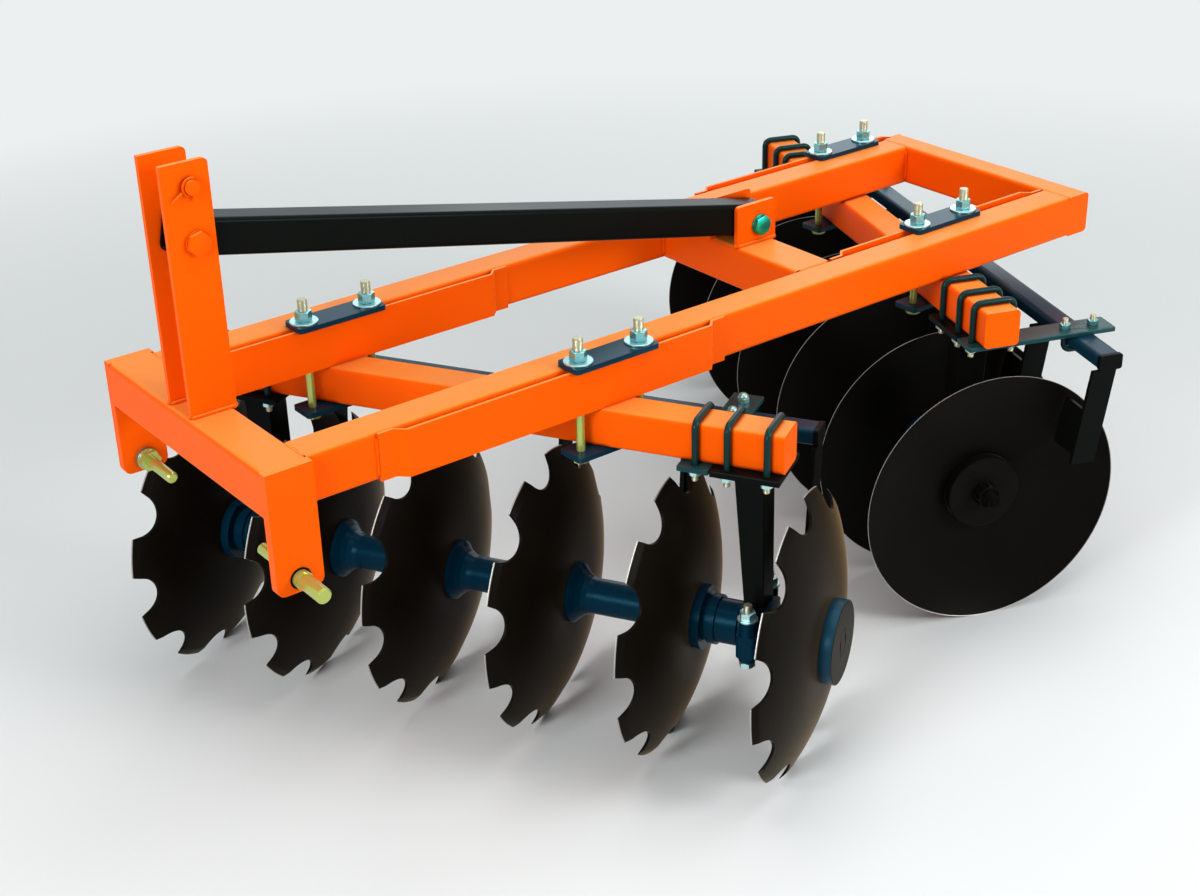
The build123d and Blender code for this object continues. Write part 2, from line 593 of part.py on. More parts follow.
def build_gang(name, nodes, place, first_seat, bearing_shift, arm_offset, side):
    """One gang: its beam, hangers and scrapers on the frame, its blades and spools on the shaft.

    place turns the gang's own frame (X along the shaft, Z up from the shaft) into the machine's.
    side is +1 where the gang's own +Y is the machine's rear, and -1 where it is the front.
    first_seat is the station of the first hanger's plate, beside the frame, and arm_offset the distance of
    each scraper's arm from its blade's rim.
    """
    gap_middle = hub_face + (disc_spacing - disc_thickness) / 2
    first = first_seat + hanger_foot_shift + bearing_shift - gap_middle
    rims = [first + disc_spacing * index for index in range(disc_count)]
    bearings = [rims[0] + gap_middle - bearing_shift, rims[-2] + gap_middle - bearing_shift]
    seats = [bearing - hanger_foot_shift for bearing in bearings]

    notched = side > 0
    disc = blade(notched)
    for index, rim in enumerate(rims):
        turn = disc_turn if index % 2 else 0
        nodes[f"{name}_disc_{index + 1}"] = place * Pos(rim, 0, 0) * Rot(X=turn) * disc

    spools = []
    for index, rim in enumerate(rims[:-1]):
        start = rim + hub_face
        end = rims[index + 1] + disc_dish
        if index in (0, disc_count - 2):
            spools.append(bearing_spool(start, end, bearings[0 if index == 0 else 1]))
        else:
            spools.append(plain_spool(start, end))
    nodes[f"{name}_spools"] = Compound([place * spool for spool in spools])

    low_face = rims[0] + disc_dish
    high_face = rims[-1] + hub_face
    recess_floor = high_face + washer_thickness - axle_head_thickness
    pocket = plate((recess_floor, high_face + 2 * washer_thickness),
                   (-axle_square / 2 - axle_head_clearance, axle_square / 2 + axle_head_clearance),
                   (-axle_head_length / 2 - axle_head_clearance, axle_head_length / 2 + axle_head_clearance))
    nodes[f"{name}_end_washers"] = Compound([
        place * end_washer(low_face, -1), place * (end_washer(high_face, 1) - pocket)])
    nodes[f"{name}_gang_shaft"] = place * gang_shaft(low_face - washer_thickness, recess_floor)

    beam_low = seats[0] - gang_beam_low_overhang
    beam_high = seats[1] + gang_beam_high_overhang
    beam = capped_tube(beam_high - beam_low, gang_beam_size, gang_beam_size, gang_beam_wall, tube_corner)
    frame_nodes[f"{name}_gang_beam"] = place * Pos(
        beam_low, 0, gang_beam_bottom + gang_beam_size / 2) * beam

    housing = bearing_housing()
    stand = hanger()
    frame_nodes[f"{name}_bearing_housings"] = Compound(
        [place * Pos(bearing, 0, 0) * housing for bearing in bearings])
    frame_nodes[f"{name}_hangers"] = Compound(
        [place * Pos(bearing, 0, 0) * stand for bearing in bearings])

    hanger_bolt = beam_u_bolt(hanger_plate_thickness)
    bracket_bolt = beam_u_bolt(bracket_thickness)
    bolts = []
    for seat in seats:
        bolts.append(place * Pos(seat - u_bolt_spacing / 2, 0, 0) * hanger_bolt)
        bolts.append(place * Pos(seat + u_bolt_spacing / 2, 0, 0) * hanger_bolt)
        bolts.append(place * Pos(seat + bracket_offset, 0, 0) * bracket_bolt)
    frame_nodes[f"{name}_u_bolts"] = Compound(bolts)

    bar_low = rims[0] - scraper_bar_low_overhang
    bar_high = rims[-1] + scraper_bar_high_overhang
    bar = capped_tube(
        bar_high - bar_low, scraper_bar_width, scraper_bar_height, scraper_bar_wall, tube_corner)
    bar_z = scraper_bar_top - scraper_bar_height / 2
    frame_nodes[f"{name}_scraper_bar"] = place * Pos(bar_low, side * scraper_bar_offset, bar_z) * bar
    bracket = scraper_bracket(side)
    clamp = Pos(0, side * scraper_bar_offset, 0) * scraper_u_bolt()
    frame_nodes[f"{name}_scraper_brackets"] = Compound(
        [place * Pos(seat + bracket_offset, 0, 0) * bracket for seat in seats])
    frame_nodes[f"{name}_scraper_clamps"] = Compound(
        [place * Pos(seat + bracket_offset, 0, 0) * clamp for seat in seats])
    arm = scraper(side, arm_offset)
    frame_nodes[f"{name}_scrapers"] = Compound(
        [place * Pos(rim, 0, 0) * arm for rim in rims])


def build_clamps(name, gang_y, slope, left_x, right_x):
    """Plates and bolts that clamp a gang beam, whose line climbs by slope, to the slots at x."""
    places = [Pos(x, gang_y + slope * x, axle_z) for x in (left_x, right_x)]
    top = gang_beam_bottom + gang_beam_size + beam_height
    upper = clamp_plate(top)
    lower = clamp_plate(gang_beam_bottom - clamp_plate_thickness)
    bolt = clamp_bolt()
    shifts = (-clamp_bolt_spacing / 2, clamp_bolt_spacing / 2)
    frame_nodes[f"{name}_clamp_plates"] = Compound(
        [place * pad for place in places for pad in (upper, lower)])
    frame_nodes[f"{name}_clamp_bolts"] = Compound(
        [place * Pos(0, shift, 0) * bolt for place in places for shift in shifts])


front_place = Location((0, front_gang_y, axle_z), (0, 0, front_gang_angle))
rear_place = Location((0, rear_gang_y, axle_z), (0, 0, 180 - rear_gang_angle))
build_frame()
build_hitch()
front_seat = -(half_width + front_hanger_clear) / cos(radians(front_gang_angle))
rear_seat = -(half_width + rear_hanger_clear) / cos(radians(rear_gang_angle))
build_gang("front", front_gang_nodes, front_place, front_seat, front_bearing_shift, front_arm_offset, 1)
build_gang("rear", rear_gang_nodes, rear_place, rear_seat, rear_bearing_shift, rear_arm_offset, -1)
build_clamps("front", front_gang_y, tan(radians(front_gang_angle)),
             half_width + slot_centre, -beam_inside + slot_centre)
build_clamps("rear", rear_gang_y, -tan(radians(rear_gang_angle)),
             beam_inside - slot_centre, -half_width - slot_centre)

# The origin goes to the middle of the bounding box, on the ground.
nodes = {**frame_nodes, **front_gang_nodes, **rear_gang_nodes}
boxes = [solid.bounding_box() for solid in nodes.values()]
middle_x = (min(box.min.X for box in boxes) + max(box.max.X for box in boxes)) / 2
middle_y = (min(box.min.Y for box in boxes) + max(box.max.Y for box in boxes)) / 2
origin = Pos(-middle_x, -middle_y, 0)

os.makedirs("parts", exist_ok=True)
for name, solid in nodes.items():
    export_step(origin * solid, f"parts/{name}.step")

for name, place in (("front gang", front_place), ("rear gang", rear_place)):
    centre = (origin * place).position
    print(name, "shaft passes", tuple(round(value, 3) for value in centre))
print("frame top", round(frame_top, 3), "frame shift", tuple(round(value, 3) for value in origin.position))
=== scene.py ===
"""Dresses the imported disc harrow: finishes, blades, fasteners, weld beads and a plain studio.

Metres, in the frame's own axes: the hitch end towards -Y, the machine's left towards +X, up +Z.
"""
import json
import logging
from dataclasses import dataclass, field
from enum import Enum
from math import pi, radians, tan
from typing import Sequence

import bmesh
import bpy
import numpy as np
from mathutils import Matrix, Vector


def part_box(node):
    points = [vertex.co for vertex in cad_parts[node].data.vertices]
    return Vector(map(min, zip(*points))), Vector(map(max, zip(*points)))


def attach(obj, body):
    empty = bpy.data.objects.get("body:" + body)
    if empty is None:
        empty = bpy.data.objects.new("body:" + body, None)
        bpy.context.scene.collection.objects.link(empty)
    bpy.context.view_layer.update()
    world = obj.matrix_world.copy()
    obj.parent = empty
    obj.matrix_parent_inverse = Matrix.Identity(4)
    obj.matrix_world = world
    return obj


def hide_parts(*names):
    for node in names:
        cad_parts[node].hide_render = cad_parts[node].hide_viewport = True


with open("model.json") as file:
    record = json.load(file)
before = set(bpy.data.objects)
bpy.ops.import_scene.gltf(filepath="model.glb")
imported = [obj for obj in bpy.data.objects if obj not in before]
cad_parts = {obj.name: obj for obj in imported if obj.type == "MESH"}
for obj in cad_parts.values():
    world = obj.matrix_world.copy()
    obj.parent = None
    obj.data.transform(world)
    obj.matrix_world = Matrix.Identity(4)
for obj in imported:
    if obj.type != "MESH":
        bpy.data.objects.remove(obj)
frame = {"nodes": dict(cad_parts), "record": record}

log = logging.getLogger("harrow")

Array = np.ndarray
Colour = tuple[float, float, float]
Point = Sequence[float]
Material = bpy.types.Material
Socket = bpy.types.NodeSocket

UP = (0.0, 0.0, 1.0)
SIDEWAYS = (1.0, 0.0, 0.0)

# Meshes
MERGE_DISTANCE = 1e-6
WELD_DISTANCE = 1e-5
SHARP_ANGLE = radians(32.0)
BEVEL_ANGLE = radians(50.0)
BEVEL_SEGMENTS = 2
PLATE_EDGE = 0.0015
BEND_STEPS = 9

# Steps round turned and swept pieces
TURNED_STEPS = 48
NUT_STEPS = 48
WASHER_STEPS = 40
BAND_STEPS = 96
THREAD_STEPS = 24
SHAFT_STEPS = 32
DOME_STEPS = 32
ROD_STEPS = 16
WIRE_STEPS = 10
ARM_HEAD_STEPS = 64

# Blades: steps round, and rows as first and last share of the way from bore to rim and how many
BLADE_STEPS = 480
DISH_ROWS = (0.0, 0.92, 20)
EDGE_ROWS = (0.94, 1.0, 7)

# Nuts and threads: shares of half the flats and of the pitch
CHAMFER_SHARE = 0.95
CHAMFER_SLOPE = tan(radians(30.0))
THREAD_DEPTH = 0.275
THREAD_TAPER = 0.35
ROWS_PER_PITCH = 4
WASHER_EDGE = 0.2

# Distances that part one piece of a node from the next
ROD_GAP = 0.01
LUG_GAP = 0.02
BOLT_GAP = 0.05
SIDE_GAP = 0.1
BRACE_GAP = 0.2

# Finishes: noise in cycles per metre, bumps in metres
PAINT_CLOUDS = 5.0
PAINT_GRAIN = 260.0
PAINT_BUMP = 0.002
PAINT_SPREAD = 0.05
ZINC_CLOUDS = 45.0
ZINC_GRAIN = 900.0
ZINC_BUMP = 0.0005
ZINC_BUMP_STRENGTH = 0.08
ZINC_SPREAD = 0.08
FINE_DETAIL = 2.0
STEEL_CLOUDS = 9.0
STEEL_DETAIL = 4.0
STEEL_BUMP = 0.001
STEEL_BUMP_STRENGTH = 0.06
STEEL_ROUGHNESS = (0.34, 0.46)
RINGS_ROUND = 3.0
RINGS_OUT = 90.0
EDGE_FADE = 0.002
EDGE_METAL = 0.7
FLOOR_CLOUDS = 0.6
FLOOR_ROUGHNESS = 0.9
BROWN_DUST = (0.60, 0.41, 0.21)
ORANGE_DUST = (1.0, 0.66, 0.10)
DUST_ROUGHNESS = 0.25
# Enamel's painted light: the range of the normal's Z over which tops turn lighter, then the occlusion that
# darkens corners as painted shade
TOP_LIGHT_SLOPE = (0.6, 0.97)
CORNER_REACH = 0.016
CORNER_RANGE = (0.35, 0.8)
CORNER_SAMPLES = 8
SURROUND = (0.93, 0.97, 0.97)
SURROUND_SEEN = 0.9
SURROUND_LIGHT = 0.3


class Body(Enum):
    """The frame's bodies, which the pieces ride on."""

    FRAME = "frame"
    FRONT = "front_gang"
    REAR = "rear_gang"


class Slot(Enum):
    """The record's material slots."""

    ORANGE = "orange_paint"
    BLACK = "black_paint"
    CAST = "cast_black"
    BLADE = "blade_steel"
    ZINC = "yellow_zinc"


class Sum(Enum):
    """Ways to join two numbers in a shader."""

    LARGER = "MAXIMUM"
    PRODUCT = "MULTIPLY"


# Surfaces


@dataclass(frozen=True)
class Grid:
    """A patch of surface as a grid of points."""

    points: Array  # Places, an array of rows by columns by 3
    ring: bool = True  # Whether the last column joins the first

    def corners(self) -> tuple[Array, Array]:
        """Steps of each face's four corners, before the ring is closed.

        Returns:
            Two arrays of faces by 4: the row and the column of every corner.
        """
        rows, columns = self.points.shape[:2]
        steps = np.arange(columns - (not self.ring))
        row, column = np.meshgrid(np.arange(rows - 1), steps, indexing="ij")
        return row.reshape(-1, 1) + [0, 0, 1, 1], column.reshape(-1, 1) + [0, 1, 1, 0]

    def faces(self) -> Array:
        """Point numbers of each four-cornered face, as faces by 4."""
        row, column = self.corners()
        columns = self.points.shape[1]
        return row * columns + column % columns

    def chart(self) -> Array:
        """UV of each face corner: columns run along u and rows along v, both from 0 to 1."""
        rows, columns = self.points.shape[:2]
        row, column = self.corners()
        return np.stack([column / (columns - (not self.ring)), row / (rows - 1)], -1).reshape(-1, 2)

    def moved(self, place: Array) -> "Grid":
        """The same patch carried by a 4 x 4 place."""
        return Grid(self.points @ place[:3, :3].T + place[:3, 3], self.ring)


def place_at(origin: Point, along: Point, up: Point = UP) -> Array:
    """A 4 x 4 place whose X runs along a direction and whose Z leans as near to up as it can.

    Args:
        origin: Where the place's zero goes.
        along: Direction of its X.
        up: Rough direction of its Z.

    Returns:
        The place, with unit axes at right angles.
    """
    x = np.array(along, float) / np.linalg.norm(along)
    y = np.cross(np.array(up, float), x)
    y = y / np.linalg.norm(y)
    place = np.eye(4)
    place[:3] = np.column_stack([x, y, np.cross(x, y), origin])
    return place


def circle(radius: float, segments: int = ROD_STEPS) -> Array:
    """Outline of a circle, as points by 2."""
    turn = np.linspace(0, 2 * pi, segments, endpoint=False)
    return radius * np.stack([np.cos(turn), np.sin(turn)], -1)


def spun(stations: Array, radii: Array) -> Grid:
    """Surface about X: at angle t, a point lies at its station, with radius cos t along Y and sin t along Z.

    Args:
        stations: Distances along X, rows by steps round it.
        radii: Distances from X, of the same shape.

    Returns:
        The patch.
    """
    across = radii[..., None] * circle(1.0, radii.shape[1])
    return Grid(np.concatenate([stations[..., None], across], -1))


def turned(profile: Sequence[tuple[float, float]], segments: int = TURNED_STEPS) -> Grid:
    """Surface of revolution about X: each profile point (station, radius) makes one circle."""
    rows = np.repeat(np.array(profile, float)[:, :, None], segments, 2)
    return spun(rows[:, 0], rows[:, 1])


def shank(radius: float, length: float) -> Grid:
    """Plain round bar on X from 0 to length."""
    return turned([(0, 0), (0, radius), (length, radius), (length, 0)])


def round_plate(radius: float, depth: float, edge: float, segments: int) -> Grid:
    """Round plate on X from 0 to depth: a turned profile whose two corners are cut by an edge width."""
    half = [(0, 0), (0, radius - edge), (edge, radius)]
    return turned(half + [(depth - station, reach) for station, reach in half[::-1]], segments)


def washer(radius: float, depth: float) -> Grid:
    """Round washer on X from 0 to depth, its edges broken."""
    return round_plate(radius, depth, depth * WASHER_EDGE, WASHER_STEPS)


def hex_nut(flats: float, height: float) -> Grid:
    """Chamfered hexagon on X from 0 to height.

    At angle t the hexagon reaches half the flats over the cosine of the angle to its nearest flat. Both
    ends are cut by cones of 30 degrees that start on a circle a little inside the flats.

    Args:
        flats: Distance across the flats.
        height: Length along X.

    Returns:
        The closed patch.
    """
    turn = np.linspace(0, 2 * pi, NUT_STEPS, endpoint=False)
    reach = flats / 2 / np.cos((turn + pi / 6) % (pi / 3) - pi / 6)
    inner = np.full(NUT_STEPS, CHAMFER_SHARE * flats / 2)
    fall = (reach - inner) * CHAMFER_SLOPE
    zero = np.zeros(NUT_STEPS)
    stations = np.stack([zero, zero, fall, height - fall, zero + height, zero + height])
    return spun(stations, np.stack([zero, inner, reach, reach, inner, zero]))


def thread(radius: float, length: float, pitch: float, segments: int = THREAD_STEPS) -> Grid:
    """Threaded stud on X from 0 to length: the radius dips as a triangle wave of station and angle.

    Args:
        radius: Outer radius.
        length: Length along X.
        pitch: Distance from crest to crest.
        segments: Steps round the axis.

    Returns:
        The closed patch, its free end slightly tapered.
    """
    rows = max(int(length / pitch * ROWS_PER_PITCH), ROWS_PER_PITCH)
    station = np.linspace(0, length, rows)[:, None]
    turn = np.linspace(0, 2 * pi, segments, endpoint=False)
    wave = np.abs(2 * ((station / pitch - turn / (2 * pi)) % 1.0) - 1)
    taper = 1 - np.clip((length - station) / pitch, 0.0, 1.0)
    reach = radius - pitch * (THREAD_DEPTH * wave + THREAD_TAPER * taper)
    wall = spun(np.repeat(station, segments, 1), reach).points
    return Grid(np.concatenate([wall[:1] * SIDEWAYS, wall, wall[-1:] * SIDEWAYS]))


def swept(path: Array, section: Array, flat: Point | None = None, size: Array | float = 1.0) -> Grid:
    """A closed section carried along a path and turned with its direction, the ends closed to a point.

    Args:
        path: Points along the way, an array of steps by 3.
        section: The section's outline across the path, an array of points by 2.
        flat: Direction off which the section is turned; where none is given, the path's own plane's.
        size: Size of the section, at each step where it varies.

    Returns:
        The patch, with one row for each step and one more to close each end.
    """
    way = np.gradient(path, axis=0)
    way /= np.linalg.norm(way, axis=1, keepdims=True)
    if flat is None:
        flat = np.linalg.svd(path - path.mean(0))[2][2]
    side = np.cross(way, flat)
    side /= np.linalg.norm(side, axis=1, keepdims=True)
    rise = np.cross(way, side)
    ring = section[:, :1] * side[:, None] + section[:, 1:] * rise[:, None]
    tube = path[:, None] + ring * np.reshape(size, (-1, 1, 1))
    first, last = (np.repeat(end[None, None], len(section), 1) for end in (path[0], path[-1]))
    return Grid(np.concatenate([first, tube, last]))


# Finishes


class NodeSheet:
    """Shader nodes of a material or of the world, added one by one and linked by their inputs' names."""

    def __init__(self, owner: Material | bpy.types.World) -> None:
        """Starts an empty sheet.

        Args:
            owner: What the nodes belong to.
        """
        self.owner = owner
        owner.use_nodes = True
        self.tree = owner.node_tree
        self.tree.nodes.clear()

    @classmethod
    def paint(cls, name: str) -> "NodeSheet":
        """An empty sheet of a new material."""
        return cls(bpy.data.materials.new(name))

    def add(self, kind: str, settings: dict | None = None, **inputs) -> bpy.types.Node:
        """Adds a node.

        Args:
            kind: The node's type name, without its ShaderNode start.
            settings: Properties of the node itself.
            **inputs: Input sockets by name with _ for spaces: a value, or another node's output to link.

        Returns:
            The new node.
        """
        node = self.tree.nodes.new("ShaderNode" + kind)
        for name, value in (settings or {}).items():
            setattr(node, name, value)
        for name, value in inputs.items():
            socket = node.inputs[name.replace("_", " ")]
            if isinstance(value, Socket):
                self.tree.links.new(value, socket)
            else:
                socket.default_value = value
        return node

    def blend(self, share: Socket, low: Colour, high: Colour) -> Socket:
        """A colour between two others.

        Args:
            share: Output that runs from 0 to 1.
            low: Colour at 0.
            high: Colour at 1.

        Returns:
            The mixed colour's output.
        """
        ramp = self.add("ValToRGB", Fac=share)
        for element, colour in zip(ramp.color_ramp.elements, (low, high)):
            element.color = (*colour, 1.0)
        return ramp.outputs["Color"]

    def overlay(self, share: Socket, under: Socket, over: Colour) -> Socket:
        """A colour laid over another one by a share from 0 to 1."""
        return self.add("MixRGB", Fac=share, Color1=under, Color2=(*over, 1.0)).outputs["Color"]

    def spread(self, share: Socket, low: float, high: float, start: float = 0.0, end: float = 1.0) -> Socket:
        """A number carried from the range start to end to the range low to high."""
        node = self.add("MapRange", Value=share, From_Min=start, From_Max=end, To_Min=low, To_Max=high)
        return node.outputs["Result"]

    def noise(self, vector: Socket, scale: float, detail: float = 3.0) -> Socket:
        """Soft noise of a given fineness on a coordinate."""
        return self.add("TexNoise", Vector=vector, Scale=scale, Detail=detail).outputs["Fac"]

    def bump(self, height: Socket, strength: float, distance: float) -> Socket:
        """A normal that follows a height."""
        return self.add("Bump", Height=height, Strength=strength, Distance=distance).outputs["Normal"]

    def join(self, way: Sum, first: Socket, second: Socket) -> Socket:
        """One number from two.

        Args:
            way: How they are joined.
            first: One number.
            second: Other number.

        Returns:
            The result's output.
        """
        node = self.add("Math", {"operation": way.value})
        self.tree.links.new(first, node.inputs[0])
        self.tree.links.new(second, node.inputs[1])
        return node.outputs["Value"]

    def seen(self) -> Socket:
        """1 for rays that show a background, by gloss or glass too, and 0 for those that light matt faces."""
        path = self.add("LightPath").outputs
        mirrored = self.join(Sum.LARGER, path["Is Glossy Ray"], path["Is Transmission Ray"])
        return self.join(Sum.LARGER, path["Is Camera Ray"], mirrored)

    def close(self, shader: bpy.types.Node) -> Material | bpy.types.World:
        """Links the shader to the output and gives what the sheet belongs to."""
        output = self.add("OutputWorld" if isinstance(self.owner, bpy.types.World) else "OutputMaterial")
        self.tree.links.new(shader.outputs[0], output.inputs["Surface"])
        return self.owner


@dataclass(frozen=True)
class Enamel:
    """Sprayed paint: a deep colour under its own gloss, with the fine waviness of a spray gun."""

    name: str  # The material's name
    colour: Colour  # The paint's colour
    thin: Colour  # Its colour where it lies thinner
    roughness: float  # Roughness of the gloss
    shine: float  # Level of the gloss, 0.5 for a plain varnish
    tint: Colour  # Colour of the gloss seen head-on
    dust: float = 0.0  # Weight of the dusty sheen that shows at a slant
    dust_colour: Colour = BROWN_DUST  # Colour of that sheen
    peel: float = 0.05  # Depth of the spray gun's waviness, as bump strength
    painted_top_light: Colour | None = None  # Colour painted on the faces that look up, as painted light from above
    painted_corner_shade: Colour | None = None  # Colour painted into narrow corners as painted shade

    def material(self) -> Material:
        """Builds the paint on Object coordinates and, for the painted top light, on the piece's own normal.

        Returns:
            The new material.
        """
        sheet = NodeSheet.paint(self.name)
        place = sheet.add("TexCoord").outputs
        cloud = sheet.noise(place["Object"], PAINT_CLOUDS)
        colour = sheet.blend(cloud, self.thin, self.colour)
        # Painted light: faces that look up take a lighter colour
        if self.painted_top_light:
            upward = sheet.add("SeparateXYZ", Vector=place["Normal"]).outputs["Z"]
            colour = sheet.overlay(sheet.spread(upward, 0.0, 1.0, *TOP_LIGHT_SLOPE), colour, self.painted_top_light)
        # Painted shade: narrow corners, found by ambient occlusion, take a darker colour
        if self.painted_corner_shade:
            corner = sheet.add("AmbientOcclusion", {"samples": CORNER_SAMPLES}, Distance=CORNER_REACH)
            room = corner.outputs["AO"]
            colour = sheet.overlay(sheet.spread(room, 1.0, 0.0, *CORNER_RANGE), colour, self.painted_corner_shade)
        fine = sheet.noise(place["Object"], PAINT_GRAIN, FINE_DETAIL)
        rough = sheet.spread(cloud, self.roughness - PAINT_SPREAD, self.roughness + PAINT_SPREAD)
        return sheet.close(sheet.add(
            "BsdfPrincipled", Base_Color=colour, Roughness=rough,
            Normal=sheet.bump(fine, self.peel, PAINT_BUMP), Specular_IOR_Level=self.shine,
            Specular_Tint=(*self.tint, 1.0), Sheen_Weight=self.dust, Sheen_Roughness=DUST_ROUGHNESS,
            Sheen_Tint=(*self.dust_colour, 1.0)))


@dataclass(frozen=True)
class PlatedMetal:
    """Zinc plate on turned or rolled steel: bright, slightly uneven in hue."""

    name: str  # The material's name
    colour: Colour  # The plate's main hue
    bloom: Colour  # Its hue where the passivation runs to another colour
    roughness: float  # Mean roughness
    metal: float = 0.9  # How far it shines as bare metal, from 0 to 1

    def material(self) -> Material:
        """Builds the plating on Object coordinates.

        Returns:
            The new material.
        """
        sheet = NodeSheet.paint(self.name)
        coords = sheet.add("TexCoord").outputs["Object"]
        cloud = sheet.noise(coords, ZINC_CLOUDS)
        fine = sheet.noise(coords, ZINC_GRAIN, FINE_DETAIL)
        return sheet.close(sheet.add(
            "BsdfPrincipled", Base_Color=sheet.blend(cloud, self.colour, self.bloom), Metallic=self.metal,
            Roughness=sheet.spread(fine, self.roughness - ZINC_SPREAD, self.roughness + ZINC_SPREAD),
            Normal=sheet.bump(fine, ZINC_BUMP_STRENGTH, ZINC_BUMP)))


@dataclass(frozen=True)
class BladeSteel:
    """Dark heat-treated blade: faint rings from rolling and dishing, a ground edge that shows bright.

    The blade's own UV map gives the angle along u and the distance from the shaft, as a share of the
    radius, along v.
    """

    name: str  # The material's name
    dark: Colour  # Colour of the scale
    warm: Colour  # Colour where the scale is browner
    dust: float  # Weight of the dusty sheen that shows at a slant
    edge: Colour = (0.42, 0.41, 0.38)  # Colour of the ground edge
    edge_start: float = 0.9965  # Share of the radius at which the ground edge begins
    shine: float = 0.03  # Level of the scale's gloss

    def material(self) -> Material:
        """Builds the steel on the blade's UV map and Object coordinates.

        Returns:
            The new material.
        """
        sheet = NodeSheet.paint(self.name)
        coords = sheet.add("TexCoord").outputs
        chart = sheet.add("SeparateXYZ", Vector=coords["UV"]).outputs
        rings = sheet.add("CombineXYZ", X=sheet.spread(chart["X"], 0.0, RINGS_ROUND),
                          Y=sheet.spread(chart["Y"], 0.0, RINGS_OUT))
        ring = sheet.noise(rings.outputs["Vector"], 1.0, STEEL_DETAIL)
        cloud = sheet.noise(coords["Object"], STEEL_CLOUDS, STEEL_DETAIL)
        fade = self.edge_start - EDGE_FADE, self.edge_start + EDGE_FADE
        ground = sheet.spread(chart["Y"], 0.0, 1.0, *fade)
        colour = sheet.overlay(ground, sheet.blend(cloud, self.dark, self.warm), self.edge)
        return sheet.close(sheet.add(
            "BsdfPrincipled", Base_Color=colour, Metallic=sheet.spread(ground, 0.0, EDGE_METAL),
            Roughness=sheet.spread(ring, *STEEL_ROUGHNESS),
            Normal=sheet.bump(ring, STEEL_BUMP_STRENGTH, STEEL_BUMP), Specular_IOR_Level=self.shine,
            Sheen_Weight=self.dust, Sheen_Roughness=DUST_ROUGHNESS, Sheen_Tint=(*BROWN_DUST, 1.0)))


@dataclass(frozen=True)
class Backdrop:
    """Pale matt floor that keeps the object's shadow and turns into the pale surroundings further out."""

    name: str  # The material's name
    colour: Colour  # Its colour
    lighter: Colour  # Its colour where it is a trace lighter
    near: float = 1.7  # Distance from the middle at which it starts to turn
    far: float = 4.2  # Distance at which it is all surroundings

    def material(self) -> Material:
        """Builds a matt surface with a trace of unevenness, mixed with a plain glow by distance.

        Returns:
            The new material.
        """
        sheet = NodeSheet.paint(self.name)
        coords = sheet.add("TexCoord").outputs["Object"]
        colour = sheet.blend(sheet.noise(coords, FLOOR_CLOUDS), self.colour, self.lighter)
        matt = sheet.add("BsdfPrincipled", Base_Color=colour, Roughness=FLOOR_ROUGHNESS)
        glow = sheet.add("Emission", Color=(*SURROUND, 1.0), Strength=SURROUND_SEEN)
        away = sheet.add("VectorMath", {"operation": "LENGTH"}, Vector=coords).outputs["Value"]
        share = sheet.join(Sum.PRODUCT, sheet.spread(away, 0.0, 1.0, self.near, self.far), sheet.seen())
        shader = sheet.add("MixShader", Fac=share)
        for layer, socket in zip((matt, glow), shader.inputs[1:]):
            sheet.tree.links.new(layer.outputs[0], socket)
        return sheet.close(shader)


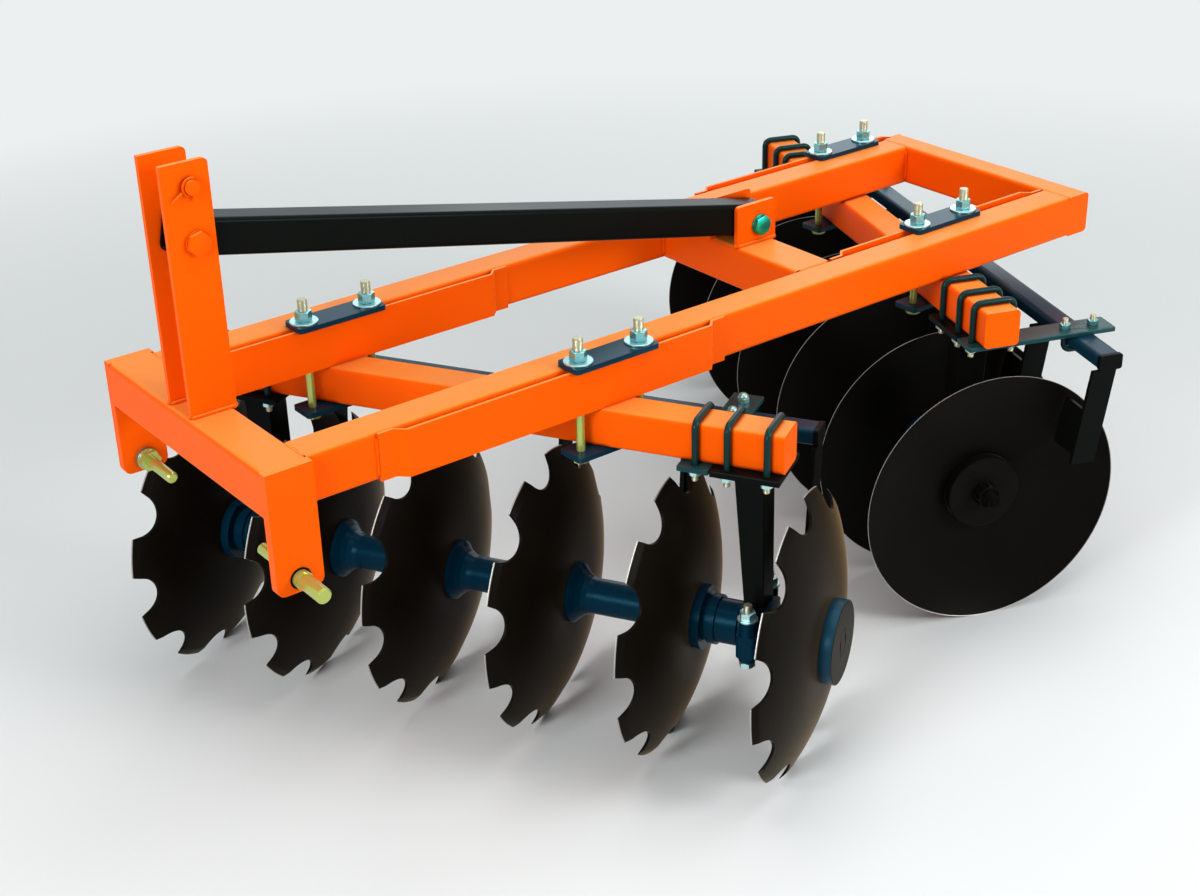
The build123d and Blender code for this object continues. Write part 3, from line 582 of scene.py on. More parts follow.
class Palette:
    """Every finish of the machine, made once."""

    def __init__(self) -> None:
        """Makes the materials."""
        # The orange carries painted light on its tops and painted shade in its narrow corners
        self.orange = Enamel("orange_enamel", (0.98, 0.098, 0.001), (0.95, 0.112, 0.002), 0.42, 0.1,
                             (1.0, 0.35, 0.02), 0.25, ORANGE_DUST, painted_top_light=(0.94, 0.262, 0.042),
                             painted_corner_shade=(0.46, 0.030, 0.0005)).material()
        self.black = Enamel("black_enamel", (0.0032, 0.0034, 0.0027), (0.0048, 0.0050, 0.0040), 0.3, 0.04,
                            (0.6, 0.9, 1.0)).material()
        # Black plate whose base colour is tinted blue as a painted sky reflection
        self.plate = Enamel("black_plate_painted_sky_reflection", (0.003, 0.024, 0.044), (0.006, 0.034, 0.060), 0.26, 0.12,
                            (0.4, 0.85, 1.0)).material()
        # Black casting whose base colour is tinted blue-teal as a painted sky reflection
        self.cast = Enamel("black_casting", (0.0004, 0.015, 0.032), (0.0008, 0.022, 0.045), 0.28, 0.1,
                           (0.2, 0.7, 1.0), peel=0.12).material()
        self.hub = Enamel("black_washer", (0.0040, 0.0036, 0.0028), (0.0060, 0.0054, 0.0042), 0.4, 0.025,
                          (0.9, 0.9, 0.8), 0.15, peel=0.1).material()
        # Blue on black for the front washers' rim bands: a painted sky reflection
        self.rim_glint = Enamel("washer_rim_painted_reflection", (0.005, 0.034, 0.062), (0.008, 0.046, 0.080), 0.3, 0.2,
                            (0.4, 0.85, 1.0), peel=0.08).material()
        self.rod = Enamel("green_black_rod", (0.004, 0.018, 0.017), (0.006, 0.028, 0.026), 0.26, 0.2,
                          (0.4, 0.95, 1.0)).material()
        # Black bracket plate whose base colour is tinted teal as a painted reflection
        self.bracket = Enamel("black_bracket_painted_teal_reflection", (0.006, 0.034, 0.037), (0.010, 0.048, 0.051), 0.28, 0.2,
                              (0.4, 0.95, 1.0)).material()
        # One blade steel in two copies: the front's browner colour and strong sheen make a lit copy, the
        # rear's a shaded copy
        self.front_blade = BladeSteel("warm_blade_steel", (0.0022, 0.0018, 0.0012),
                                      (0.0060, 0.0046, 0.0028), 0.85).material()
        self.rear_blade = BladeSteel("dark_blade_steel", (0.0022, 0.0020, 0.0014),
                                     (0.0046, 0.0038, 0.0026), 0.2).material()
        self.yellow = PlatedMetal("yellow_zinc", (0.50, 0.47, 0.06), (0.36, 0.50, 0.16), 0.2, 0.5).material()
        self.teal = PlatedMetal("teal_zinc", (0.16, 0.36, 0.34), (0.34, 0.50, 0.46), 0.34).material()
        self.blue = PlatedMetal("blue_zinc", (0.14, 0.46, 0.50), (0.34, 0.62, 0.64), 0.28).material()
        self.white = PlatedMetal("white_zinc", (0.52, 0.74, 0.74), (0.38, 0.66, 0.68), 0.32).material()
        self.stud = PlatedMetal("worn_thread", (0.50, 0.49, 0.34), (0.38, 0.37, 0.25), 0.42).material()
        self.green = PlatedMetal("green_bolt", (0.01, 0.42, 0.30), (0.02, 0.55, 0.42), 0.32).material()
        self.floor = Backdrop("pale_floor", (0.76, 0.79, 0.79), (0.78, 0.81, 0.81)).material()


# Pieces


def make_piece(name: str, grids: Sequence[Grid], material: Material,
               body: Body = Body.FRAME, stands_for: Sequence[str] = ()) -> bpy.types.Object:
    """Joins patches into one finished object on a body.

    Args:
        name: The object's name.
        grids: Its patches, in the frame's axes.
        material: Its finish.
        body: What it rides on.
        stands_for: CAD nodes that it replaces.

    Returns:
        The object, at the origin, with its place in its mesh.
    """
    points = np.concatenate([grid.points.reshape(-1, 3) for grid in grids])
    starts = np.cumsum([0] + [grid.points.size // 3 for grid in grids])
    faces = np.concatenate([grid.faces() + start for grid, start in zip(grids, starts)])
    chart = np.concatenate([grid.chart() for grid in grids])
    mesh = bpy.data.meshes.new(name)
    mesh.from_pydata(points, [], faces)
    mesh.uv_layers.new(name="grid").data.foreach_set("uv", chart.ravel())
    work = bmesh.new()
    work.from_mesh(mesh)
    bmesh.ops.remove_doubles(work, verts=work.verts, dist=MERGE_DISTANCE)
    bmesh.ops.recalc_face_normals(work, faces=work.faces)
    work.to_mesh(mesh)
    work.free()
    mesh.shade_smooth()
    mesh.set_sharp_from_angle(angle=SHARP_ANGLE)
    mesh.materials.append(material)
    piece = bpy.data.objects.new(name, mesh)
    bpy.context.scene.collection.objects.link(piece)
    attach(piece, body.value)
    if stands_for:
        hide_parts(*stands_for)
    log.info("%s: %d faces on %s", name, len(mesh.polygons), body.value)
    return piece


def mesh_points(mesh: bpy.types.Mesh) -> Array:
    """All corners of a mesh, as points by 3."""
    flat = np.empty(len(mesh.vertices) * 3)
    mesh.vertices.foreach_get("co", flat)
    return flat.reshape(-1, 3)


def node_points(node: str) -> Array:
    """All corners of a CAD node, as points by 3."""
    return mesh_points(frame["nodes"][node].data)


def node_box(node: str) -> tuple[Array, Array]:
    """Lowest and highest corner of a CAD node."""
    low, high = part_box(node)
    return np.array(low), np.array(high)


def parted(points: Array, axis: int, gap: float) -> list[Array]:
    """Splits points into groups wherever neighbours along an axis lie further apart than a gap.

    Args:
        points: Places, as points by 3.
        axis: Number of the axis.
        gap: Smallest distance that splits two groups.

    Returns:
        The groups, in order along the axis.
    """
    ordered = points[np.argsort(points[:, axis])]
    return np.split(ordered, np.flatnonzero(np.diff(ordered[:, axis]) > gap) + 1)


def dress(node: str, material: Material, bevel: float = 0.0) -> None:
    """Gives a CAD node its finish and, where asked, softly broken edges.

    Args:
        node: The node's name.
        material: Its finish.
        bevel: Width of the broken edges, or 0 for none.
    """
    piece = frame["nodes"][node]
    piece.data.materials.clear()
    piece.data.materials.append(material)
    if bevel > 0:
        piece.modifiers.new("weld", "WELD").merge_threshold = WELD_DISTANCE
        edge = piece.modifiers.new("edge", "BEVEL")
        edge.width, edge.segments = bevel, BEVEL_SEGMENTS
        edge.limit_method, edge.angle_limit = "ANGLE", BEVEL_ANGLE
        edge.harden_normals = False


@dataclass
class Gang:
    """One gang of blades: the pieces that turn with its shaft."""

    palette: Palette  # The finishes
    name: str  # Start of its nodes' names
    body: Body  # What its blades ride on
    reversed_axis: bool  # Whether the hinge's axis runs from the crown end to the hollow end
    notched: bool  # Whether its blades have scallops
    blade_count: int = 6  # How many blades it has
    thickness: float = 0.005  # A blade's thickness
    flat_radius: float = 0.062  # Radius of the flat at a blade's middle
    bore_radius: float = 0.018  # Radius to which a blade's faces reach in, under the spools
    edge_width: float = 0.0012  # Thickness left at the ground edge
    ground_width: float = 0.012  # Width of the ground bevel
    notch_count: int = 10  # Scallops round a blade
    notch_radius: float = 0.0455  # Radius of a scallop
    notch_depth: float = 0.042  # How far a scallop cuts in
    notch_phase: float = 24.0  # Angle of the first scallop from the top, in degrees towards the front
    notch_turn: float = 90.0  # Turn of every second blade, in degrees
    nut_flats: float = 0.046  # Width of the shaft's nut across the flats
    nut_thickness: float = 0.026  # Its thickness
    stud_radius: float = 0.0135  # Radius of the shaft's thread
    stud_pitch: float = 0.003  # Pitch of that thread
    cover: float = 0.0006  # How far the fine nut and thread stand proud of the plain ones
    band_lip: float = 0.001  # Width of the broken edges of the bands round the end washers
    band_rise: float = 0.0003  # How far those bands stand proud of the washers
    place: Array = field(init=False)  # The gang's own axes in the frame: X along the shaft, Z up

    def __post_init__(self) -> None:
        """Reads the shaft's line from the hinge."""
        joints = {joint["name"]: joint for joint in frame["record"]["behaviour"]["joints"]}
        hinge = joints[f"{self.name}_gang_spin"]
        along = np.array(hinge["axis"]) * (-1 if self.reversed_axis else 1)
        self.place = place_at(hinge["pos_m"], along)

    def own(self, points: Array) -> Array:
        """Points of the frame in the gang's own axes: X along the shaft, Z up from it."""
        return (points - self.place[:3, 3]) @ self.place[:3, :3]

    def local(self, node: str) -> Array:
        """A node's corners in the gang's own axes."""
        return self.own(node_points(node))

    def point(self, station: float, across: float = 0.0, height: float = 0.0) -> Array:
        """A point of the gang's own axes, in the frame's."""
        return self.place[:3, :3] @ np.array([station, across, height]) + self.place[:3, 3]

    def mount(self, station: float, across: float, height: float, up: float = 1.0) -> Array:
        """A place whose X points up (or down, for up = -1) at a point of the gang's own axes."""
        return place_at(self.point(station, across, height), (0, 0, up), self.place[:3, 0])

    def dress(self) -> None:
        """Makes the blades, the shaft's nut and the bands round the end washers."""
        self.dress_blades()
        self.dress_shaft()
        self.dress_washers()

    def rim(self, turn: Array, radius: float) -> Array:
        """Distance from the shaft to the blade's edge at each angle.

        Round a scallop's middle, at c from the shaft, the edge lies where the ray from the shaft meets the
        scallop's circle: c cos(t) less the root of the circle's radius squared less c squared sin(t) squared.

        Args:
            turn: Angles from the first scallop.
            radius: The blade's full radius.

        Returns:
            The edge's distance at each angle.
        """
        if not self.notched:
            return np.full_like(turn, radius)
        step = 2 * pi / self.notch_count
        off = (turn + step / 2) % step - step / 2
        middle = radius - self.notch_depth + self.notch_radius
        room = self.notch_radius ** 2 - (middle * np.sin(off)) ** 2
        cut = middle * np.cos(off) - np.sqrt(np.maximum(room, 0.0))
        return np.where(room > 0, np.minimum(cut, radius), radius)

    def blade(self, index: int) -> list[Grid]:
        """One dished blade: two faces and the edge between them.

        A face is a flat disc that runs on, without a kink, into an arc of the dish; both are functions of
        the distance from the shaft alone, drawn out to the edge's distance at each angle.

        Args:
            index: The blade's place on the shaft, from 0.

        Returns:
            Patches for the hollow face, the crown face, the edge and the bore, in the frame's axes.
        """
        corners = self.local(f"{self.name}_disc_{index + 1}")
        low, high = corners[:, 0].min(), corners[:, 0].max()
        radius = np.hypot(corners[:, 1], corners[:, 2]).max()
        dish = high - low - self.thickness
        swell = ((radius - self.flat_radius) ** 2 + dish ** 2) / (2 * dish)
        turn = np.linspace(0, 2 * pi, BLADE_STEPS, endpoint=False)
        share = np.concatenate([np.linspace(*DISH_ROWS), np.linspace(*EDGE_ROWS)])
        reach = self.bore_radius + share[:, None] * (self.rim(turn, radius) - self.bore_radius)
        angle = turn + radians(self.notch_phase + self.notch_turn * (index % 2))

        def face(away: Array, curve: float) -> Array:
            """Stations of a face: level with the flat, then an arc of the given radius."""
            over = np.maximum(away - self.flat_radius, 0.0)
            return low + dish - swell + np.sqrt(np.maximum(curve ** 2 - over ** 2, 0.0))

        def rows(station: Array, away: Array) -> Array:
            """Points at stations and distances from the shaft, at each angle."""
            return np.stack([station, -away * np.sin(angle), away * np.cos(angle)], -1)

        hollow = face(reach, swell)
        crown = face(reach, swell + self.thickness)
        start = radius - self.ground_width
        ground = np.clip((reach - start) / self.ground_width, 0.0, 1.0)
        bevel_top = face(np.array([start]), swell + self.thickness)[0]
        crown = np.where(reach > start, bevel_top + ground * (low + self.edge_width - bevel_top), crown)
        sides = rows(hollow, reach), rows(crown, reach)
        rim, eye = (np.stack([side[row] for side in sides]) for row in (-1, 0))
        return [Grid(patch).moved(self.place) for patch in (*sides, rim, eye)]

    def dress_blades(self) -> None:
        """Replaces every blade with its fine mesh, charted by angle and distance from the shaft."""
        # Front blades take the lit copy of the steel, rear blades the shaded copy
        finish = self.palette.front_blade if self.body is Body.FRONT else self.palette.rear_blade
        for index in range(self.blade_count):
            number = index + 1
            piece = make_piece(f"{self.name}_blade_{number}", self.blade(index), finish,
                               self.body, [f"{self.name}_disc_{number}"])
            self.chart_blade(piece.data)

    def chart_blade(self, mesh: bpy.types.Mesh) -> None:
        """Writes a blade's UV map: angle along u, share of the full radius along v.

        Args:
            mesh: The blade's mesh.
        """
        local = self.own(mesh_points(mesh))
        away = np.hypot(local[:, 1], local[:, 2])
        turn = np.arctan2(-local[:, 1], local[:, 2]) / (2 * pi) + 0.5
        corner = np.empty(len(mesh.loops), int)
        mesh.loops.foreach_get("vertex_index", corner)
        chart = np.stack([turn, away / away.max()], -1)
        mesh.uv_layers[0].data.foreach_set("uv", chart[corner].ravel())

    def dress_shaft(self) -> None:
        """Gives the shaft's nut its chamfers and its end its thread."""
        corners = self.local(f"{self.name}_gang_shaft")
        away = np.hypot(corners[:, 1], corners[:, 2])
        seat = corners[away > self.nut_flats / 2, 0].min()
        along = self.place[:3, 0]
        nut = hex_nut(self.nut_flats + self.cover, self.nut_thickness)
        length = seat - corners[:, 0].min()
        tail = thread(self.stud_radius + self.cover, length, self.stud_pitch, SHAFT_STEPS)
        grids = [nut.moved(place_at(self.point(seat), along)), tail.moved(place_at(self.point(seat), -along))]
        make_piece(f"{self.name}_shaft_nut", grids, self.palette.hub, self.body)

    def dress_washers(self) -> None:
        """Bands round the rims of the end washers: short cylinders with broken edges, just proud of them; on
        the front gang their blue is a painted sky reflection.
        """
        node = f"{self.name}_end_washers"
        corners = self.local(node)
        radius = np.hypot(corners[:, 1], corners[:, 2]).max()
        lip, proud = self.band_lip, radius + self.band_rise
        bands = []
        for part in parted(corners, 0, BOLT_GAP):
            low, high = part[0, 0] + lip, part[-1, 0] - lip
            band = turned([(low, radius - lip), (low, radius), (low + lip, proud), (high - lip, proud),
                           (high, radius), (high, radius - lip)], BAND_STEPS)
            bands.append(band.moved(self.place))
        # Front bands carry the painted rim reflection, rear bands the washers' own black
        finish = self.palette.rim_glint if self.body is Body.FRONT else self.palette.hub
        make_piece(f"{node}_bands", bands, finish, self.body)


@dataclass
class GangFittings:
    """Fasteners that hold a gang under the frame: U-bolts, bearing bolts and their nuts and washers."""

    gang: Gang  # The gang they belong to
    capped: bool  # Whether the scraper clamps have domed nuts
    rod_radius: float = 0.00635  # Radius of the U-bolts' rod
    bend_radius: float = 0.016  # Radius of their bends
    nut_flats: float = 0.0205  # Width of their nuts across the flats
    nut_height: float = 0.0105  # Height of their nuts
    dome_radius: float = 0.0098  # Radius of a cap nut's dome
    dome_height: float = 0.0095  # Height of that dome
    pitch: float = 0.002  # Pitch of all threads
    tail: float = 0.022  # How far the legs reach past the plate that their nuts sit on
    bearing_reach: float = 0.066  # Distance of the bearing bolts from the shaft's line
    boss_top: float = 0.054  # Height of the bolt bosses' tops over the shaft's line
    boss_foot: float = -0.034  # Height of their undersides, below the shaft's line
    boss_radius: float = 0.0165  # Radius of the bosses
    boss_edge: float = 0.003  # Width of their broken edges
    bearing_flats: float = 0.027  # Width of the bearing bolts' nuts
    bearing_nut: float = 0.0145  # Height of those nuts
    bearing_head: float = 0.011  # Height of the bolts' heads
    bearing_radius: float = 0.0085  # Radius of the bearing bolts
    bearing_stud: float = 0.028  # How far the bolts reach over their washers
    washer_radius: float = 0.0195  # Radius of the bearing bolts' washers
    washer_depth: float = 0.0035  # Their thickness
    head_depth: float = 0.009  # How far the last scraper arm's head wraps over the scraper bar's end
    head_proud: float = 0.0006  # How far that head stands proud of the bar
    head_power: float = 8.0  # Power of the superellipse that rounds its corners

    def bent_rod(self, leg: float, tail: float, crown: float) -> Array:
        """Line of a U-bolt: up one leg, round a quarter circle, across, round again and down.

        Args:
            leg: Distance of each leg from the middle.
            tail: Height at which the legs end.
            crown: Height of the straight across.

        Returns:
            Points in the plane of the bolt, as steps by 3, with X zero.
        """
        rise = np.sign(crown - tail)
        quarter = np.linspace(0, pi / 2, BEND_STEPS)
        bend = crown - rise * self.bend_radius
        arc = self.bend_radius * np.stack([np.cos(quarter), rise * np.sin(quarter)], -1)
        half = np.concatenate([[[leg, tail], [leg, (tail + bend) / 2]], arc + [leg - self.bend_radius, bend]])
        flat = np.concatenate([half * [-1, 1], [[0.0, crown]], half[::-1]])
        return np.column_stack([np.zeros(len(flat)), flat])

    def cap_dome(self) -> Grid:
        """Dome of a cap nut, from its hexagon up: half an ellipsoid turned about X."""
        lean = np.linspace(0, pi / 2, BEND_STEPS)
        station = self.nut_height + self.dome_height * np.sin(lean)
        return turned(list(zip(station, self.dome_radius * np.cos(lean))), DOME_STEPS)

    def u_bolts(self, node: str, down: bool, capped: bool = False) -> tuple[list[Grid], ...]:
        """All U-bolts of a node with their nuts and thread ends.

        Args:
            node: The node whose rods are followed.
            down: Whether the legs point down.
            capped: Whether domed nuts close over the thread ends.

        Returns:
            Patches of the rods, of the nuts and of the thread ends that show.
        """
        rods, nuts, studs = [], [], []
        sign = -1.0 if down else 1.0
        for part in parted(self.gang.local(node), 0, ROD_GAP):
            low, high = part.min(0), part.max(0)
            station, middle = ((low + high) / 2)[:2]
            leg = (high[1] - low[1]) / 2 - self.rod_radius
            tail, crown = (low[2], high[2]) if down else (high[2], low[2])
            seat = tail - sign * self.tail
            path = self.bent_rod(leg, seat, crown + sign * self.rod_radius) + [station, middle, 0]
            rods.append(swept(path, circle(self.rod_radius)).moved(self.gang.place))
            for across in (middle - leg, middle + leg):
                place = self.gang.mount(station, across, seat, sign)
                nuts.append(hex_nut(self.nut_flats, self.nut_height).moved(place))
                if capped:
                    nuts.append(self.cap_dome().moved(place))
                else:
                    studs.append(thread(self.rod_radius, self.tail, self.pitch).moved(place))
        return rods, nuts, studs

    def dress(self) -> None:
        """Makes the U-bolts in place of the plain ones, the bearing bolts and the scraper arm's head."""
        palette, name = self.gang.palette, self.gang.name
        bolts, clamps = f"{name}_u_bolts", f"{name}_scraper_clamps"
        rods, nuts, studs = self.u_bolts(bolts, True)
        make_piece(f"{bolts}_rods", rods, palette.rod, stands_for=[bolts])
        make_piece(f"{name}_u_bolt_nuts", nuts, palette.white)
        make_piece(f"{name}_u_bolt_threads", studs, palette.stud)
        rods, nuts, studs = self.u_bolts(clamps, False, self.capped)
        make_piece(f"{clamps}_rods", rods, palette.rod, stands_for=[clamps])
        make_piece(f"{clamps}_nuts", nuts, palette.teal if self.capped else palette.blue)
        if studs:
            make_piece(f"{clamps}_threads", studs, palette.stud)
        self.dress_bearings()
        self.dress_bar_end()

    def dress_bar_end(self) -> None:
        """Last scraper arm's head over the bar's end: a superellipse of its section, drawn out along it."""
        bar = self.gang.local(f"{self.gang.name}_scraper_bar")
        low, high = bar.min(0), bar.max(0)
        end, outward = (high[0], 1.0) if self.gang.body is Body.FRONT else (low[0], -1.0)
        wave = circle(1.0, ARM_HEAD_STEPS)
        half = (high - low)[1:] / 2 + self.head_proud
        outline = half * np.sign(wave) * np.abs(wave) ** (2 / self.head_power)
        stations = end + outward * np.repeat([-self.head_depth, self.head_proud], 2)
        size = np.array([0.0, 1.0, 1.0, 0.0])[:, None, None]
        across = (low + high)[1:] / 2 + size * outline
        along = np.broadcast_to(stations[:, None, None], (*across.shape[:2], 1))
        head = Grid(np.concatenate([along, across], -1)).moved(self.gang.place)
        make_piece(f"{self.gang.name}_scraper_bar_head", [head], self.gang.palette.black)

    def dress_bearings(self) -> None:
        """Round bosses on the bearing lugs, with upright bolts, washers and nuts on top and heads below."""
        palette, name = self.gang.palette, self.gang.name
        boss = round_plate(self.boss_radius, self.boss_top - self.boss_foot, self.boss_edge, TURNED_STEPS)
        bosses, washers, nuts, studs = [], [], [], []
        for part in parted(self.gang.local(f"{name}_bearing_housings"), 0, BOLT_GAP):
            station = (part[0, 0] + part[-1, 0]) / 2
            for across in (-self.bearing_reach, self.bearing_reach):
                foot = self.gang.mount(station, across, self.boss_foot)
                seat = self.gang.mount(station, across, self.boss_top)
                top = self.gang.mount(station, across, self.boss_top + self.washer_depth)
                under = self.gang.mount(station, across, self.boss_foot, -1.0)
                bosses.append(boss.moved(foot))
                washers.append(washer(self.washer_radius, self.washer_depth).moved(seat))
                nuts.append(hex_nut(self.bearing_flats, self.bearing_nut).moved(top))
                nuts.append(hex_nut(self.bearing_flats, self.bearing_head).moved(under))
                studs.append(thread(self.bearing_radius, self.bearing_stud, self.pitch).moved(top))
        make_piece(f"{name}_bearing_bosses", bosses, palette.cast)
        make_piece(f"{name}_bearing_washers", washers, palette.white)
        make_piece(f"{name}_bearing_nuts", nuts, palette.white)
        make_piece(f"{name}_bearing_studs", studs, palette.stud)


@dataclass
class SlotClamps:
    """Bolts that clamp a gang beam to the slots: yellow shanks, broad washers, blue nuts and thread ends."""

    palette: Palette  # The finishes
    name: str  # Start of the gang's node names
    shank_radius: float = 0.00795  # Radius of the shanks
    head_flats: float = 0.0285  # Width of the heads and nuts across the flats
    head_height: float = 0.0125  # Height of the heads under the lower plates
    nut_height: float = 0.0195  # Height of the nuts
    washer_radius: float = 0.0272  # Radius of the washers
    washer_depth: float = 0.004  # Their thickness
    stud_radius: float = 0.0097  # Radius of the thread ends
    pitch: float = 0.0025  # Pitch of the threads
    head_up: Point = (0, 1, 0)  # Direction that the heads' corners are turned to
    nut_up: Point = (1, 2, 0)  # Direction that the nuts' corners are turned to

    def dress(self) -> None:
        """Makes the bolts in place of the plain ones."""
        node = f"{self.name}_clamp_bolts"
        heights = node_points(f"{self.name}_clamp_plates")[:, 2]
        seat, under = heights.max(), heights.min()
        corners = node_points(node)
        length = corners[:, 2].max() - seat - self.washer_depth
        shanks, washers, nuts, studs = [], [], [], []
        for row in parted(corners, 0, SIDE_GAP):
            for part in parted(row, 1, BOLT_GAP):
                x = (row[0, 0] + row[-1, 0]) / 2
                y = (part[0, 1] + part[-1, 1]) / 2
                foot = place_at((x, y, under), UP, self.head_up)
                below = place_at((x, y, under), (0, 0, -1), self.head_up)
                on_plate = place_at((x, y, seat), UP, self.head_up)
                above = place_at((x, y, seat + self.washer_depth), UP, self.nut_up)
                shanks.append(shank(self.shank_radius, seat - under).moved(foot))
                shanks.append(hex_nut(self.head_flats, self.head_height).moved(below))
                washers.append(washer(self.washer_radius, self.washer_depth).moved(on_plate))
                nuts.append(hex_nut(self.head_flats, self.nut_height).moved(above))
                studs.append(thread(self.stud_radius, length, self.pitch).moved(above))
        make_piece(f"{self.name}_clamp_shanks", shanks, self.palette.yellow, stands_for=[node])
        make_piece(f"{self.name}_clamp_washers", washers, self.palette.white)
        make_piece(f"{self.name}_clamp_nuts", nuts, self.palette.blue)
        make_piece(f"{self.name}_clamp_studs", studs, self.palette.stud)


@dataclass
class Hitch:
    """Hitch fittings: the brace bolts, the top pin's cotter and the collars and dark rings of painted shade
    round the lower pins.
    """

    palette: Palette  # The finishes
    head_flats: float = 0.038  # Width of the brace bolts' heads across the flats
    head_height: float = 0.0125  # Their height, with the washer
    head_inset: float = 0.0005  # How far they stay inside the plain bolts' ends
    head_up: Point = (0, 0.3, 1)  # Direction that their corners are turned to
    shank_radius: float = 0.0095  # Radius of the bolts
    washer_radius: float = 0.0215  # Radius of the washer under each head
    washer_depth: float = 0.003  # Its thickness
    pin_tail: float = 0.004  # Length of the top pin's end that the cotter goes round
    wire_radius: float = 0.0022  # Radius of the cotter's wire
    wire_inset: float = 0.0065  # Distance of the cotter from the pin's end
    hoop_turn: tuple[float, float] = (-25.0, 150.0)  # Start and end of its hoop, in degrees from the top
    hoop_steps: int = 22  # Points along the hoop
    leg_length: float = 0.026  # Length of its bent leg
    leg_way: tuple[float, float] = (-0.82, -0.57)  # Direction of the leg, forwards and down
    leg_start: float = 0.15  # Share of its length at which the leg comes out of the hoop
    leg_steps: int = 6  # Points along the leg and the stub, and from the leg's root to the hoop's end
    stub_lean: tuple[float, float] = (0.004, 0.006)  # Where the stub starts and ends, along Y
    stub_reach: tuple[float, float] = (-0.002, 0.009)  # How far below the hoop it starts and ends
    collar_radius: float = 0.0215  # Radius of the plated collar inboard of each lower pin's bracket
    collar_length: float = 0.0124  # Its length
    shade_ring_radius: float = 0.0198  # Radius of the dark ring of painted shade outboard of the bracket
    shade_ring_depth: float = 0.0016  # Its thickness

    def dress(self) -> None:
        """Makes the bolts, the cotter, and the collars and painted-shade rings."""
        front, rear = parted(node_points("brace_bolts"), 1, BRACE_GAP)
        make_piece("front_brace_bolt", self.brace_bolt(front), self.palette.orange,
                   stands_for=["brace_bolts"])
        make_piece("rear_brace_bolt", self.brace_bolt(rear), self.palette.green)
        self.dress_cotter()
        self.dress_pins()

    def dress_pins(self) -> None:
        """A plated collar inboard and a dark ring of painted shade outboard of each hitch bracket, round its
        lower pin.
        """
        collars, rings = [], []
        for side, name in ((1.0, "left"), (-1.0, "right")):
            low, high = node_box(f"{name}_lower_pin")
            inner, outer = sorted((corner[0] for corner in node_box(f"{name}_hitch_bracket")), key=abs)
            y, z = ((low + high) / 2)[1:]
            collar, ring = place_at((inner, y, z), (-side, 0, 0)), place_at((outer, y, z), (side, 0, 0))
            collars.append(washer(self.collar_radius, self.collar_length).moved(collar))
            rings.append(washer(self.shade_ring_radius, self.shade_ring_depth).moved(ring))
        make_piece("lower_pin_collars", collars, self.palette.teal)
        # Dark rings of painted shade, where the gap round each pin falls into shadow
        make_piece("lower_pin_shade_rings", rings, self.palette.black)

    def brace_bolt(self, part: Array) -> list[Grid]:
        """One through bolt with a washer and a hexagon at each side.

        Args:
            part: The plain bolt's corners.

        Returns:
            The bolt's patches.
        """
        low, high = part.min(0), part.max(0)
        middle = (low + high) / 2
        grip = (high[0] - low[0]) / 2 - self.head_height - self.head_inset
        grids = [shank(self.shank_radius, 2 * grip).moved(place_at(middle - [grip, 0, 0], SIDEWAYS))]
        for side in (-1.0, 1.0):
            way = np.array([side, 0, 0])
            face = place_at(middle + way * grip, way)
            head = place_at(middle + way * (grip + self.washer_depth), way, self.head_up)
            grids.append(washer(self.washer_radius, self.washer_depth).moved(face))
            grids.append(hex_nut(self.head_flats, self.head_height - self.washer_depth).moved(head))
        return grids

    def dress_cotter(self) -> None:
        """Split wire round the top pin: an arc of a circle, a straight leg that runs off it and a stub."""
        corners = node_points("top_link_pin")
        end = corners[:, 0].max()
        tail = corners[corners[:, 0] > end - self.pin_tail]
        low, high = tail.min(0), tail.max(0)
        radius = (high[2] - low[2]) / 2 + self.wire_radius
        turn = np.radians(np.linspace(*self.hoop_turn, self.hoop_steps))
        hoop = radius * np.stack([-np.sin(turn), np.cos(turn)], -1)
        share = np.linspace(self.leg_start, 1.0, self.leg_steps)[:, None]
        leg = hoop[-self.leg_steps] + np.array(self.leg_way) * share * self.leg_length
        stub = np.stack([np.linspace(*self.stub_lean, self.leg_steps),
                         -radius - np.linspace(*self.stub_reach, self.leg_steps)], -1)
        grids = []
        for flat in (hoop, leg, stub):
            path = np.column_stack([np.full(len(flat), end - self.wire_inset), (low + high)[1:] / 2 + flat])
            grids.append(swept(path, circle(self.wire_radius, WIRE_STEPS)))
        make_piece("top_pin_cotter", grids, self.palette.orange)


